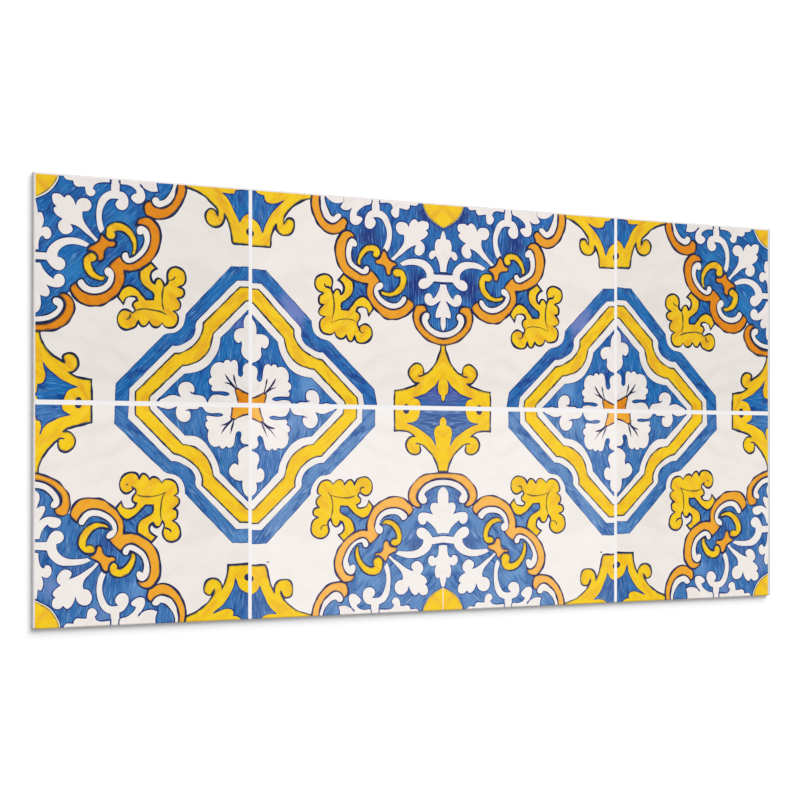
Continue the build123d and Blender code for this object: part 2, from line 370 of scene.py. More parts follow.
    Motif(Paint.BLUE, "side_cartouche_blue_b", 0.9, 5, """
        3.6,130.8* 5.2,133.8 7.8,136.6 11.7,139.3 16.1,141.8 20,143.2 23.9,144.1* 21.1,144.6 19.2,146
        18.3,148.2 18,149.3 18,153* -3,153* -3,147.5 0.3,147.1* 1.7,144.9 1.9,142.1* 3.6,141 4.7,138.8
        4.9,136 4.4,133.2""", "B"),
    Motif(Paint.CONTOUR, "side_cartouche_dot_b", 0, 5, """
        30,148.6 28.6,149.2 28.1,150 28,153* 32,153* 32,150 31.4,149.2""", "B"),
    Motif(Paint.YELLOW, "side_cartouche_c", 1.3, 45, """
        -3,102* 3.1,102.2* 3.3,105.2 4.2,108.2 5.8,112.1 8.3,116 11.1,119.3 14.2,122.7 16.4,124.1* 16.5,123
        16.4,120.7 17.2,117.9 19.2,116.6 21.7,116.3 24.4,117.4 26.7,119.6 27.5,122.7 27.2,125.4 25.6,127.9
        22.8,129.3 19.4,129.3* 22.2,131.3 26.7,132.9 31.7,134.3 38.3,135.7* 38.4,146.8 38.4,153*
        -3,153*""", "C"),
    Motif(Paint.BLUE, "side_cartouche_blue_c", 0.9, 5, """
        4.4,127.2* 6,131 7.9,133.8 11.1,136 15,137.9 18.9,139.3 24.2,140.4* 21.7,141.6 19.4,143.2
        18.3,145.2 18.2,146.8 18,153* 1,153* 1.6,146.6 1.1,143.2 1.4,141.6* 1.9,139.3 2.5,137.1* 4.5,136.6
        5.3,134.3 5.4,131.6 4.9,129.3""", "C"),
    Motif(Paint.CONTOUR, "side_cartouche_dot_c", 0, 5, """
        29.7,144.6 28.1,145.2 27.2,147 27.2,153* 32.2,153* 32.2,147 31.3,145.4""", "C"),
    Motif(Paint.YELLOW, "side_cartouche_d", 1.3, 45, """
        -3,102* 3.6,102.2* 4.2,105.2 5.6,108.8 7.8,112.7 10.6,116.3 13.9,119.3 17.2,121.6 18.9,122.3*
        18.9,120.2 18.6,117.9 19.7,115.7 22.2,114.6 25,114.9 27.8,116.6 29.4,119.1 29.9,122.1 28.9,124.9
        27.2,126.8 24.7,127.7 22.5,127.4* 25.3,129.6 28.9,131.3 33.9,132.1 39.2,132* 39.3,146.6 39.3,153*
        -3,153*""", "D"),
    Motif(Paint.BLUE, "side_cartouche_blue_d", 0.9, 5, """
        6,121.1* 7.7,124.3 9.9,126.8 13.3,129.6 17.2,132.4 21.7,134.9 26.1,136.8 29.2,137.3* 25.6,137.4
        22.2,138.8 19.7,141.3 18.6,144.3 18.1,146.8 18,153* -3,153* -3,143.5 0.3,142.7* 1.9,141.6 3.1,139.3
        2.9,136.3* 5.6,135.4 7.3,133.2 7.9,130.4 7.3,127.1 6.5,123.8""", "D"),
    Motif(Paint.CONTOUR, "side_cartouche_dot_d", 0, 5, """
        30,144 28.4,144.7 27.5,146.8 27.5,153* 32.6,153* 32.6,146.8 31.8,144.9""", "D"),
    Motif(Paint.BLUE, "outer_frame", 0.5, -45, """
        153,55.5* 136,55.8* 103.5,90* 103,94 101,99 96.5,102.8 90.5,103.8 88,104.8* 55,138.5* 54.5,153*
        63.5,153* 64,141.5* 94,111.5* 98,111.5 103,109.5 107.5,106 110,101 110,97 111,94.5*
        140,65* 153,65*"""),
    Motif(Paint.YELLOW, "inner_frame", 0.9, -45, """
        153,69.5* 142.5,69.5* 116,95.5* 115.5,100 113.5,105 110,110 105,114 100,116.3 95.5,117* 68.5,143.5*
        68,153* 77.5,153* 78.5,146.5* 101,125.3* 105,124.7 111,122.5 117,118 120.5,113 122,107 123,102.8*
        146.5,79.3* 153,78.5*"""),
    Motif(Paint.BLUE, "interior", 0.6, -80, """
        153,83* 148.5,85.5* 128.5,105.5* 128,110 126.5,115 123.5,120 118.5,125.5 112,129 106,130.3
        102.5,130.8* 84,148.5* 81,153* 153,153*"""),
    Motif(Paint.WHITE, "right_fleur", 0.8, 45, """
        153,87* 148.5,88 146,90.5 145,94 145.3,98* 143,98 139.5,99.5 138,103 139,107 141.5,108.5 143.5,107*
        143.8,110 143.3,114 145,118 148.5,120.5* 153,120.5*"""),
    Motif(Paint.WHITE, "bottom_fleur", 0.8, 45, """
        84,153* 85,149 89,147 92,145.5 96,145.3 100,146.5* 98.5,143.5 98.3,140 100,137.3 104,136 108,137.5
        109.8,141 109,143.5 106,142.8* 109,144.5 113,145 116.5,146 118.5,149* 118.5,153*"""),
    Motif(Paint.WHITE, "flower", 0.8, 45, """
        153,122* 148.5,122 146,123 144.5,126 144.8,129 144.5,130.8 143,132 141.4,131 141,129 141,124
        140,120.8 137.5,120.3 135.8,121.8* 134,120.3 131.5,120.8 130.5,122.5* 127,122 123,124 121,128
        121.2,131 122,132.5* 120,134 120.2,137 122.5,138.5* 121.5,140 122.5,142.2* 134,143 135,143.8
        134,144.8 126,144.3 122.5,144.8* 121,146.5 119.5,149 119.5,153* 153,153*"""),
    Motif(Paint.ORANGE, "centre", 0.8, 45, """
        140.5,139.5* 142.5,140.8 145.5,142.5 148.5,143.5 153,143.5* 153,153* 141,153* 141,149.5 140,144.5
        139,140.5"""),
    Motif(Paint.WHITE, "disc_rim", 0.9, 45, """
        16.9,-3* 16.7,3 14,8.8 10,13.4 5.5,16.3 0,18.9* -3,20.5* -3,-3*""", "AC"),
    Motif(Paint.WHITE, "disc_rim_thin", 0.8, 45, """
        16.3,-3* 16.1,3 13.3,8.5 9.3,12.9 5.2,15.7 0,18.2* -3,19.8* -3,-3*""", "BD"),
    Motif(Paint.YELLOW, "disc", 0, 45, """
        16,-3* 15.8,3 13,8.3 9,12.7 5,15.4 0,17.8* -3,19.4* -3,-3*"""),
    Motif(Paint.GLAZE, "seam_over_disc", 0, 85, """
        -3,-3* 0.3,-3* 0.3,21* -3,21*""", "D"),
)

STROKES = (
    Stroke("crease_across_a", 1.1,
           "65.8,90.5 68.1,89.3 71.1,88.1 74.6,87.6 79.3,88 83.4,88.6 86.9,89.4 90,91.2", "A", Paint.CREASE),
    Stroke("crease_down_a", 1.2,
           "88.6,71 87.5,73.4 86.9,77.5 86.8,81.6 87.2,85.2 88.1,88.1", "A", Paint.CREASE),
    Stroke("knob_right_a", 1.3, "91,67.8 93.4,67.2 95.2,66.1 95.9,64.5", "A", Paint.CREASE),
    Stroke("knob_left_a", 1.3, "64.8,91 64.5,93.4 63.4,94.6 61.8,95.1", "A", Paint.CREASE),
    Stroke("crease_down_b", 1.1,
           "88.6,69.9 87.6,73.4 87,77.5 87,81.6 87.6,85.8 88.8,89.9 89.4,92.2", "B", Paint.CREASE),
    Stroke("crease_across_b", 1.0,
           "69.1,90.8 71.4,89.6 74.9,88.8 79.1,88.8 83.8,89.6 87.9,91.4 89.4,92.2", "B", Paint.CREASE),
    Stroke("knob_right_b", 1.3, "89.2,67.8 91.4,66.6 93.2,66.4 94.2,65.2 94.2,63.7", "B"),
    Stroke("knob_left_b", 1.3, "66.5,93 67.3,95.2 66.6,97.2 64.9,98.1 63.6,97.2", "B"),
    Stroke("crease_down_c", 1.0,
           "86.4,70.2 85.9,74.4 86.1,78.5 86.6,82.6 87.5,86.1 89.6,88.9", "C", Paint.CREASE),
    Stroke("crease_across_c", 1.0,
           "68.7,87.9 71.1,86.7 74.6,86 79.3,86 83.4,86.6 86.9,87.6 89.6,88.9", "C", Paint.CREASE),
    Stroke("knob_right_c", 1.3, "88.3,64.8 90.8,64.1 92.5,63.2 93.4,61.4", "C"),
    Stroke("knob_left_c", 1.1, "66,89.6 66.7,91.4 66,93.2", "C"),
    Stroke("knob_dot_c", 1.5, "61.9,93.8 62.8,94.2 63.7,94.4", "C", Paint.CREASE),
    Stroke("crease_down_d", 1.2,
           "89.4,69.9 88.4,72.6 87.9,76.1 88,79.6 88.8,83.8 90.2,86.1 91.7,87.9", "D", Paint.CREASE),
    Stroke("crease_across_d", 1.1,
           "70.2,85.2 73.2,84.1 77.3,83.5 81.4,83.8 86.1,84.6 89.1,85.5", "D", Paint.CREASE),
    Stroke("knob_right_d", 1.3, "91.6,63.8 94.1,64.4 95.8,63.8 96.8,62.3 96.8,60.7", "D", Paint.CREASE),
    Stroke("knob_left_d", 1.2, "66.1,87.4 66.6,89.1 65.8,90.5 64.4,91.1 62.9,90.6", "D", Paint.CREASE),
    Stroke("side_knob_b", 1.0, "15.5,127 18,128 20.7,128.2", "B"),
    Stroke("side_knob_c", 1.1, "15.8,123.8 18.3,124.9 20.7,124.6", "C"),
    Stroke("side_knob_d", 1.0, "18.4,121.8 20.5,122.6 22.7,122.2", "D"),
    Stroke("top_tick_d", 0.7, "135.6,39.4 138,39.4", "D"),
    Stroke("flower_vein_left", 1.15, "131.5,130 134.5,134.5 137.8,138 140.3,140.5"),
    Stroke("flower_vein_middle", 1.05, "137.8,130 138.5,134 139.6,137.5 140.6,140.8"),
    Stroke("flower_vein_low", 1.15, "131.3,136 134.8,136.8 137.8,138.6 140.2,141"),
    Stroke("upper_tie", 0.7, "-1,52.9 4,52.7 9,52.9", "A"),
    Stroke("lower_tie", 0.7, "-1,59.2 4,59 8.5,59", "A"),
    Stroke("neck_tick_left", 0.6, "50.7,2 50.8,4.2", "A"),
    Stroke("neck_tick_right", 0.6, "57.8,2 57.8,4.2", "A"),
    Stroke("upper_tie_b", 0.7, "-1,52.2 4,52.1 9,52.4", "B"),
    Stroke("lower_tie_b", 0.7, "-1,59.3 4,59.4 8,59.2", "B"),
    Stroke("upper_tie_d", 0.6, "-1,49.2 3.3,49.2", "D"),
    Stroke("lower_tie_d", 0.6, "-1,55 5.3,55", "D"),
)

# The blue field is brushed another way on each tile, in degrees.
FIELD_BRUSH = {"A": -45.0, "B": 90.0, "C": 80.0, "D": -45.0}

# Where the other three hand-painted tiles differ from the first: each pair says that a point of
# the first tile's outlines lies at the second place on this tile, in millimetres.
PULLS = {
    "B": """
        51.5,2>51.5,2 57.4,2>57.5,2 57.4,9.5>57.6,9.5 51.5,9.5>51.3,9.5 2,53.3>2,53 2,58>2,58.6
        34,20>34.3,21.6 27.8,21>28.4,19.6 33.5,15.9>34,17.2 32.2,26.7>32,27.8 15,22.5>14.2,21.5
        18.9,30.6>18.8,29 20.8,36.3>18.8,35.5 32.5,24.7>32,25.7 25.6,35.6>23,35 25.8,37.8>23.3,37
        42.5,44>42,45.2 14.5,14>14.5,15 59,18>59,18 41.6,24>41.5,24 16.5,60>16.5,60 16,53>14,52.5
        15.8,55.5>13.3,57 25,42.3>25,42.8 38,11>40,9 28.5,8.7>29.5,7.5 69.5,13>69.5,18 75,12.5>74.7,14
        74.5,9>74.2,11.6 72.5,5.5>73.7,10 70.8,3.6>73.2,9 74.5,6.5>75.5,10.7 78,8>78.2,11.4 73,16>73.2,20.5
        69.5,17>69.5,21.5 66.5,15.5>66,18.5 81,8.3>80.4,10.9 84,7.8>82,8.7 83,3.6>80,5 85,14>87.8,16.4
        90,17>92,20 96,5>97,6 103,8>104.3,10 96.5,20>98.5,22.7 85,26.3>86.5,28.5 74.3,19>79,20.5
        69,31>71.5,30 75.5,25.8>77,25.5 85.5,40>86,41 84,46.5>84.5,48 76.5,57.5>77.5,57.5 60.5,62.6>60.5,63
        69,35.5>69,34.2 69.5,37.2>69.4,35.3 71.5,38>70.8,36.2 73.5,37>72.3,37 61,53>60.8,53 57.5,53>58.5,53
        50,60>51.5,60.5 50,64>51.5,64.5 53.5,68>56,68 41,78.8>42,79.8 28,72>28.8,71.5 31,72.5>32.5,73.5
        40,87>40,87.5 24.5,75>24.5,76 56.5,78>58,77.3 55,45>54.5,46 44,57>42.5,55.5 38,50.5>36,50.3
        56.5,30.3>57,34 47.8,38>50.5,39 51.5,42.5>54,43 69.3,44>69.3,46 68,51.5>68.4,50.2 65.5,52>65.8,50.2
        58.5,36.3>59,39.2 62.5,38.5>62.7,41.8 65.3,42.5>64.9,45 32.8,60>29.5,60 39.5,54.5>38.5,54
        43,70>43,71.5 47.5,68.5>50.5,68 39,61>35.5,61 63,57.2>64.6,55.8 59,52.5>60,51.6 47,64>49,64.2
        15,85>13.5,84.5 19.9,87.5>18.5,86.5 21,79>18.5,76.5 27.2,88>25.3,86 20,98.5>18.5,97.5 9,104>9,103.5
        103.5,66>102,65 90.3,64>88,62 97,58.3>94.5,57.5 102.5,75.5>98.5,76 97.5,79.5>95.5,79.5
        99.8,85>99,84 98,94.5>98,94 92,99.8>92.5,100 83,60>84,61.3 79,56>79.5,56.5 84.8,66.5>84,68
        88.3,71.5>88,71 86.8,96.8>86.5,98.5 81.5,99.8>82.5,103 77.8,96>77.5,100.5 74,99.5>74.5,105
        70.3,95.8>71,100.5 62,102>64,105.5 55.8,95.5>57,98 60.5,88.5>63,92.5 60,85>59.5,85 56,80>55.5,80.5
        69.5,82>69.5,83 75.5,81>76,82 80.5,81>81,82 117,22>117,24.3 124.5,30>124.5,32.5 124,16>122,19.5
        126.3,21>125,23.5 131,20>131,25 136.8,40.7>134.6,41.3 148.5,40.6>148.5,41.5 114,8>114,9.5
        142,25>141,30.5 129.5,5.5>126.5,8 139,5>137,9 144.5,21.5>144.5,23 137,15>134,16 30.4,125>29,126
        24,117.5>21.5,118.5 19,124.5>15.5,125.5 26.5,132>21,133.5 33,134.5>33,137.5 38.5,135>39.5,138.5
        5,110.5>4,112 12,120>10,122 6.5,126>3.5,131 29,140.5>24,144 14,134.5>11,138.5 136,55.8>139,57
        153,55.5>153,57 103.5,90>104.5,91.5 101,99>102,100 88,104.8>89.5,106.3 55,138.5>55.5,138.8
        140,65>141.5,66.5 111,94.5>112.5,95.5 94,111.5>95.5,113 64,141.5>64.5,142.3 142.5,69.5>144,70.5
        116,95.5>117.5,98 95.5,117>96,118.5 68.5,143.5>69,145 146.5,79.3>148,80.3 123,102.8>125,104
        101,125.3>102,125.5 78.5,146.5>79,147.5 128.5,105.5>130,107 102.5,130.8>104.5,131 138,103>136,106
        145.3,98>145.5,102 141.5,108.5>139.5,112 148.5,120.5>148.5,122 104,136>104,140.3
        98.3,140>98.5,144.5 109.8,141>108.5,144.5 143,132>143.5,135 127,122>127,124 120,134>120,136
        140.5,139.5>140,142.5 137.5,120.3>136,122.5""",
    "C": """
        51.5,2>51.8,2 57.4,2>57.6,2 57.4,9.5>57.8,8.5 51.5,9.5>51.5,8 2,53.3>2,52 2,58>2,56.8
        12,12.5>13,12.8 14.5,13.9>14.5,12.5 12.3,18>12.5,16.5 34,20>34.5,19.8 20.8,36>20,33.3
        24.2,33.6>23.5,32 32.5,24.7>33.5,25.5 42.5,44>43,43 59,18>59,16.5 41.6,24>42,23 45.5,37>46.5,35
        25,42.3>25,41 36,47>37.5,44.5 25,47>25,45.3 15.8,55.5>15,55.5 16.5,60>17,60.5 8.5,53.3>9,51
        8.4,58>9,57 38,11>40,8.5 28.5,8.7>29,6 69.5,13>70,15.5 75,12.5>75,13 81,8.3>80,10 84,7.8>84,8
        83,14.8>83.5,15 90,17>92,17.5 96,5>98,5 103,8>103,10 96.5,20>97,21.5 85,26.3>86,27 74.3,19>77.5,20
        69,31>70,29 75.5,25.8>77,24 85.5,40>85.5,38 84,46.5>84.5,46 76.5,57.5>76,57 71,61>70,60.5
        60.5,62.6>60,61.5 57.5,53>58.5,49.5 50,60>50.5,57.5 77.5,46>77.5,44 67,57>67,54.5
        72.5,34.5>72.5,31.5 61,53>61.2,49.5 63,57.2>64.6,53.4 47,64>49.2,60.4 76,40>76,38 50,64>52,60.8
        53.5,68>56,65 41,78.8>41,77.5 31,72.5>33,70.5 40,87>40,85 56.5,78>57,76 24.5,75>25,75 28,72>28.5,69
        45.5,39>47,37 55,45>55.5,44 44,57>42.5,54 38,50.5>39,47.5 56.5,30.3>58,32 51.5,42.5>53,42
        47.8,38>50,37.5 69.3,44>69.5,43 66.5,52>67,48 58.5,36.3>59,36.5 32.8,60>29.5,57 39.5,54.5>38,50.8
        43,70>43,69 47.5,68.5>51,65.5 39,61>36,58 8.5,40.5>9.5,37.5 5.3,37.2>5.5,34.5 17,71>13,69.5
        8.3,74.4>4,70.5 10.3,79>7.5,78 15,85>15,82.5 19.9,87.5>19.5,86 15,94.3>14.5,92.3 21,79>19.5,74
        17,80.6>14.5,78 27.2,88>24.5,87 20,98.5>18,96 9,104>9,101 3,104.8>3,101.8 21.3,86.5>20.5,85.5
        97,58.3>93.5,55 103.5,66>100,62 90.3,64>87,61 98,71.8>94.5,69.5 102.5,75.5>97.5,73.5
        97.5,79.5>95,77.5 99.8,85>99.5,82 94.5,88.2>95.5,86.5 98,94.5>98,91 92,99.8>92,97.5
        86.8,96.8>86.5,95.5 81.5,99.8>81.5,99 77.8,96>78.5,97.5 74,99.5>74.5,101.5 70.3,95.8>71,98
        62,102>64,102 55.8,95.5>57.5,94.5 60.5,88.5>63,88.5 83,60>83.3,58.7 79,56>80,55 81.5,70>80.5,67.5
        84.8,66.5>84,65.5 88.3,71.5>87.5,69.5 60,85>58,82.5 56,80>54.5,78.5 69.5,82>69,81.5 75.5,81>75.5,80
        80.5,81>80.5,80 64,72.3>62.5,70.5 117,22>115.5,22.5 124.5,30>123,30.5 126.3,21>124,21.5
        124,16>120.5,17.5 131,20>130,22 136.8,40.7>133.3,38.6 148.5,40.6>148.5,38.8 142,25>139,29.5
        129.5,5.5>123.5,6 139,5>137.5,6.5 137,15>133,15 144.5,21.5>143,21 148.5,31.5>148,28.5
        30.4,125>29,122 24,117.5>21.5,115 19,124.5>17,123.5 26.5,132>23,129.5 33,134.5>33,133.5
        38.5,135>39.5,135.5 5,110.5>4,108 12,120>11,118.5 6.5,126>4.5,128.5 29,140.5>24,140.5
        14,134.5>12,135.5 30.5,149>30,145.5 136,55.8>137.5,53.5 153,55.5>153,53.5 103.5,90>103,88
        101,99>101,97 88,104.8>88,103.3 55,138.5>54,135 140,65>139.5,62.5 111,94.5>111,92 94,111.5>93,109.5
        64,141.5>63,138.5 142.5,69.5>142.5,67.5 116,95.5>115,93.5 95.5,117>95,115 68.5,143.5>68.5,141
        146.5,79.3>148,76.5 123,102.8>123.5,99.5 101,125.3>101,121.5 78.5,146.5>78.5,144.5
        148.5,85.5>148,82.5 128.5,105.5>128.5,101.5 102.5,130.8>103.5,127 84,148.5>84,146 138,103>134,102
        139.5,99.5>138.5,97.5 141.5,108.5>139,108.5 104,136>102.5,136.8 98.3,140>96.8,141
        109.8,141>107,141.5 137.5,120.3>134,119 123,124>121,121.5 120,134>118,133 143,132>142,130.5
        134,143.8>129,141.5 140.5,139.5>138.5,138.5""",
    "D": """
        51.5,1>51.8,1 57.4,1>58,1 2,53.3>2,49.8 2,58>2,54.5 12,12.5>12,11.7 14.5,13.9>15,11.5
        22.5,14.3>22,12 34,20>34.8,18 20.8,36.3>21,32.5 18.9,30.6>18.5,27.5 24.2,33.6>24,29.5
        32.5,24.7>33,24 42.5,44>44,41 59,18>59.5,14.7 41.6,24>42.5,22 51.5,9.5>51.5,6.5 57.4,9.5>58,6.5
        47.5,19>48,16 45.5,37>46.5,34.5 25,42.3>25,39 36,47>37.5,43.5 25,47>26,44.5 16.5,60>17.5,57
        15.8,55.5>16,52.5 8.5,53.3>9,48.5 8.4,58>8.5,54 38,11>38.5,7.5 28.5,8.7>29,5 69.5,13>70.5,10.5
        69,10>69,6.8 81,8.3>80,7 83,14.8>83,11.7 90,17>91,14 96,5>97,4 74.3,19>76.5,18 85,26.3>84,23.3
        96.5,20>95,18.5 103,8>102.5,6 86,19>86.5,18 69,31>71,28 75.5,25.8>77.5,23.5 85.5,40>86.5,37
        84,46.5>84.5,45 76.5,57.5>77,54.5 71,61>70,58.5 60.5,62.6>61,60 57.5,53>59,50.5 50,60>52,56.5
        77.5,46>78.5,43 67,57>67,54.5 72.5,34.5>73,31.5 76,40>78,37.5 61,53>61.5,49.5 50,64>51.5,60.5
        53.5,68>54.5,64 41,78.8>41,75.5 31,72.5>32,69.5 40,87>38,84 56.5,78>56,76 24.5,75>25,74
        28,72>27.5,70 45.5,39>46,37.5 55,45>55,43.5 44,57>45,52 38,50.5>38.5,46.5 56.5,30.3>56,28
        51.5,42.5>52,41 47.8,38>48.5,36 69.3,44>70,44 66.5,52>68.5,50.5 58.5,36.3>60,34.5 32.8,60>33,57
        39.5,54.5>39.5,51.5 43,70>43.5,67 47.5,68.5>49.5,65.5 39,61>38.5,58 8.5,40.5>9,37 5,30>5,26.5
        17,71>17,67.5 13.2,70.3>13.5,66 10.3,79>10,75.5 4.5,81.2>4.5,79 5,87>4.5,84 15,85>15.5,81.5
        19.9,87.5>20.5,83.5 15,94.3>16,91.3 21,79>20,75.5 17,80.6>17.5,77 27.2,88>27.8,84.5 20,98.5>19,97
        9,104>9,101 3,104.8>3,102 21.3,86.5>22.3,83 97,58.3>98,55 103.5,66>104.5,63 90.3,64>90.5,60.5
        98,71.8>99,70 102.5,75.5>103,74 99.8,85>100.5,81 94.5,88.2>97,85.5 98,94.5>99.5,90 92,99.8>93,96.5
        86.8,96.8>87.5,93.5 81.5,99.8>81.5,96.8 77.8,96>79,93 74,99.5>74.5,96.5 70.3,95.8>71,93
        62,102>63,98.5 55.8,95.5>57,91.5 60.5,88.5>61.5,85 83,60>83.5,57.5 79,56>79.5,52.5
        81.5,70>81.5,66.5 84.8,66.5>86,63 88.3,71.5>89.5,69 60,85>59.5,81.5 56,80>57,77 69.5,82>69,78.5
        75.5,81>76.5,77.5 80.5,81>81.5,77.5 64,72.3>64,68.5 71,66>71.5,64.5 77,74.5>79,71.5 117,22>118,20
        124.5,30>125,27 124,16>122.5,13.5 126.3,21>127,19 131,20>131,18.5 136.8,40.7>137.3,37.9
        148.5,40.6>148.5,38 142,25>142.5,22 129.5,5.5>131,3 137,15>138,12.3 144.5,21.5>145,18.5
        148.5,31.5>148.5,28 114,8>115,6 103.5,3.5>103.5,0.5 30.4,125>31.3,121 24,117.5>23.5,113.5
        19,124.5>18,121.5 26.5,132>24,127.5 33,134.5>33,130.5 38.5,135>40,131.5 5,110.5>5,107 12,120>11,117
        6.5,126>6,122 29,140.5>27,136.5 14,134.5>14,130.5 30.5,149>30,146 7,138>5.5,135.5 136,55.8>138,52.5
        153,55.5>153,52.3 103.5,90>105,86.5 101,99>102,95 88,104.8>90,101 55,138.5>55,135 140,65>141.5,61.5
        111,94.5>112.5,90.5 94,111.5>95,108.3 64,141.5>65,138 142.5,69.5>144,66.5 116,95.5>116.5,92
        95.5,117>96.5,113.3 68.5,143.5>69.5,140.5 146.5,79.3>147.5,76 123,102.8>125,98.5
        101,125.3>103,121.8 78.5,146.5>80,143.5 148.5,85.5>148,83.5 128.5,105.5>129.5,102
        102.5,130.8>104,127.5 84,148.5>85.5,146 138,103>139.5,99.5 145.3,98>145.5,95 141.5,108.5>143,105
        104,136>104.5,132.8 98.3,140>99.5,138 109.8,141>111,138 137.5,120.3>135,117.5 127,122>127,118.3
        120,134>120.5,131 143,132>143.5,127.5 140.5,139.5>142,136.5 134,143.8>135,140""",
}


def smooth_curve(points: list[Point], corners: list[bool], closed: bool, step: float) -> list[Point]:
    """Samples a smooth curve through points, sharp at the corners.

    Args:
        points: the places the curve passes through.
        corners: which of them stay sharp.
        closed: whether the curve runs back to its first point.
        step: the wanted spacing of the samples.

    Returns:
        The samples, without the first one repeated where the curve is closed.
    """
    count = len(points)
    spans = count if closed else count - 1
    samples: list[Point] = []
    for index in range(spans):
        start = points[index]
        end = points[(index + 1) % count]
        before = points[index - 1] if closed or index > 0 else start
        after = points[(index + 2) % count] if closed or index + 2 < count else end
        length = math.dist(start, end)
        lead = curve_handle(before, start, end, corners[index] or before == start)
        trail = curve_handle(after, end, start, corners[(index + 1) % count] or after == end)
        steps = max(1, round(length / step))
        for k in range(steps):
            t = k / steps
            weights = ((1 - t) ** 3, 3 * t * (1 - t) ** 2, 3 * t * t * (1 - t), t**3)
            leaving = (start[0] + lead[0], start[1] + lead[1])
            coming = (end[0] + trail[0], end[1] + trail[1])
            knots = (start, leaving, coming, end)
            x = sum(w * knot[0] for w, knot in zip(weights, knots))
            y = sum(w * knot[1] for w, knot in zip(weights, knots))
            samples.append((x, y))
    if not closed:
        samples.append(points[-1])
    return samples


def curve_handle(before: Point, at: Point, after: Point, corner: bool) -> Point:
    """Gives a curve's handle at a point, towards the next one.

    Args:
        before: the point on the other side.
        at: the point the handle belongs to.
        after: the point the handle leads to.
        corner: whether the curve is sharp here.

    Returns:
        The handle as an offset from the point.
    """
    ahead = math.dist(at, after)
    if corner or ahead == 0:
        return ((after[0] - at[0]) / 3, (after[1] - at[1]) / 3)
    back = math.dist(before, at)
    across = (at[0] - before[0]) / back + (after[0] - at[0]) / ahead
    down = (at[1] - before[1]) / back + (after[1] - at[1]) / ahead
    norm = math.hypot(across, down) or 1.0
    reach = ahead * HANDLE_SHARE
    return (across / norm * reach, down / norm * reach)


def read_line(text: str) -> tuple[list[Point], list[bool]]:
    """Reads a line of points and says which of them are corners."""
    words = text.split()
    points = [tuple(float(part) for part in word.rstrip("*").split(",")) for word in words]
    return points, [word.endswith("*") for word in words]


def signed_area(polygon: list[Point]) -> float:
    """Twice a polygon's area, positive where it runs counterclockwise."""
    return sum(a[0] * b[1] - b[0] * a[1] for a, b in zip(polygon, polygon[1:] + polygon[:1]))


@dataclass
class HandPull:
    """The free hand of one tile: a thin-plate warp through the pulls read for it."""

    pulls: str
    softness: float = 12.0
    starts: np.ndarray = field(init=False)
    weights: np.ndarray = field(init=False)

    def __post_init__(self) -> None:
        """Solves the warp's weights."""
        pairs = [pair.split(">") for pair in self.pulls.split()]
        self.starts = np.array([[float(c) for c in start.split(",")] for start, _ in pairs])
        ends = np.array([[float(c) for c in end.split(",")] for _, end in pairs])
        count = len(pairs)
        kernel = self.kernel(self.starts) + np.eye(count) * self.softness
        flat = np.c_[np.ones(count), self.starts]
        system = np.block([[kernel, flat], [flat.T, np.zeros((3, 3))]])
        self.weights = np.linalg.solve(system, np.r_[ends - self.starts, np.zeros((3, 2))])

    def kernel(self, places: np.ndarray) -> np.ndarray:
        """The thin-plate kernel between some places and the pulls' starts."""
        distance = np.linalg.norm(places[:, None] - self.starts[None], axis=-1)
        return np.where(distance > 0, distance**2 * np.log(np.maximum(distance, TINY)), 0.0)

    def move(self, points: list[Point]) -> list[Point]:
        """Moves points of the first tile to their places on this one."""
        places = np.array(points)
        flat = np.c_[np.ones(len(places)), places]
        moved = places + np.c_[self.kernel(places), flat] @ self.weights
        return [(float(x), float(y)) for x, y in moved]


@dataclass(frozen=True)
class Region:
    """A filled area that a paint covers, in the order of painting."""

    polygon: list[Point]
    paint: Paint
    brush_angle: float
    seed: float
    outline: tuple[Point, ...] = ()
    box: tuple[Point, ...] = field(init=False)

    def __post_init__(self) -> None:
        """Finds the box round the area."""
        spans = tuple((min(side), max(side)) for side in zip(*self.polygon))
        object.__setattr__(self, "box", spans)

    def edge_distance(self, x: float, y: float) -> float:
        """How far a place lies from the shape's outline, or far off where it has none."""
        if not self.outline:
            return FAR_OFF
        corners = np.array(self.outline)
        spans = np.roll(corners, -1, axis=0) - corners
        reach = np.array((x, y)) - corners
        shares = np.clip((reach * spans).sum(axis=1) / np.maximum((spans**2).sum(axis=1), 1e-12), 0, 1)
        return float(np.hypot(*(reach - spans * shares[:, None]).T).min())

    def covers(self, x: float, y: float) -> bool:
        """Whether a place lies in the area, with the area's own box looked at first."""
        (left, right), (top, bottom) = self.box
        return left <= x <= right and top <= y <= bottom and self.holds(x, y)

    def holds(self, x: float, y: float) -> bool:
        """Whether a place lies in the area, by how often its edge winds round it."""
        winding = 0
        ahead = self.polygon[-1]
        for corner in self.polygon:
            start, end = ahead, corner
            ahead = corner
            if (start[1] <= y) == (end[1] <= y):
                continue
            side = (end[0] - start[0]) * (y - start[1]) - (x - start[0]) * (end[1] - start[1])
            if (side > 0) == (end[1] > start[1]):
                winding += 1 if side > 0 else -1
        return winding != 0


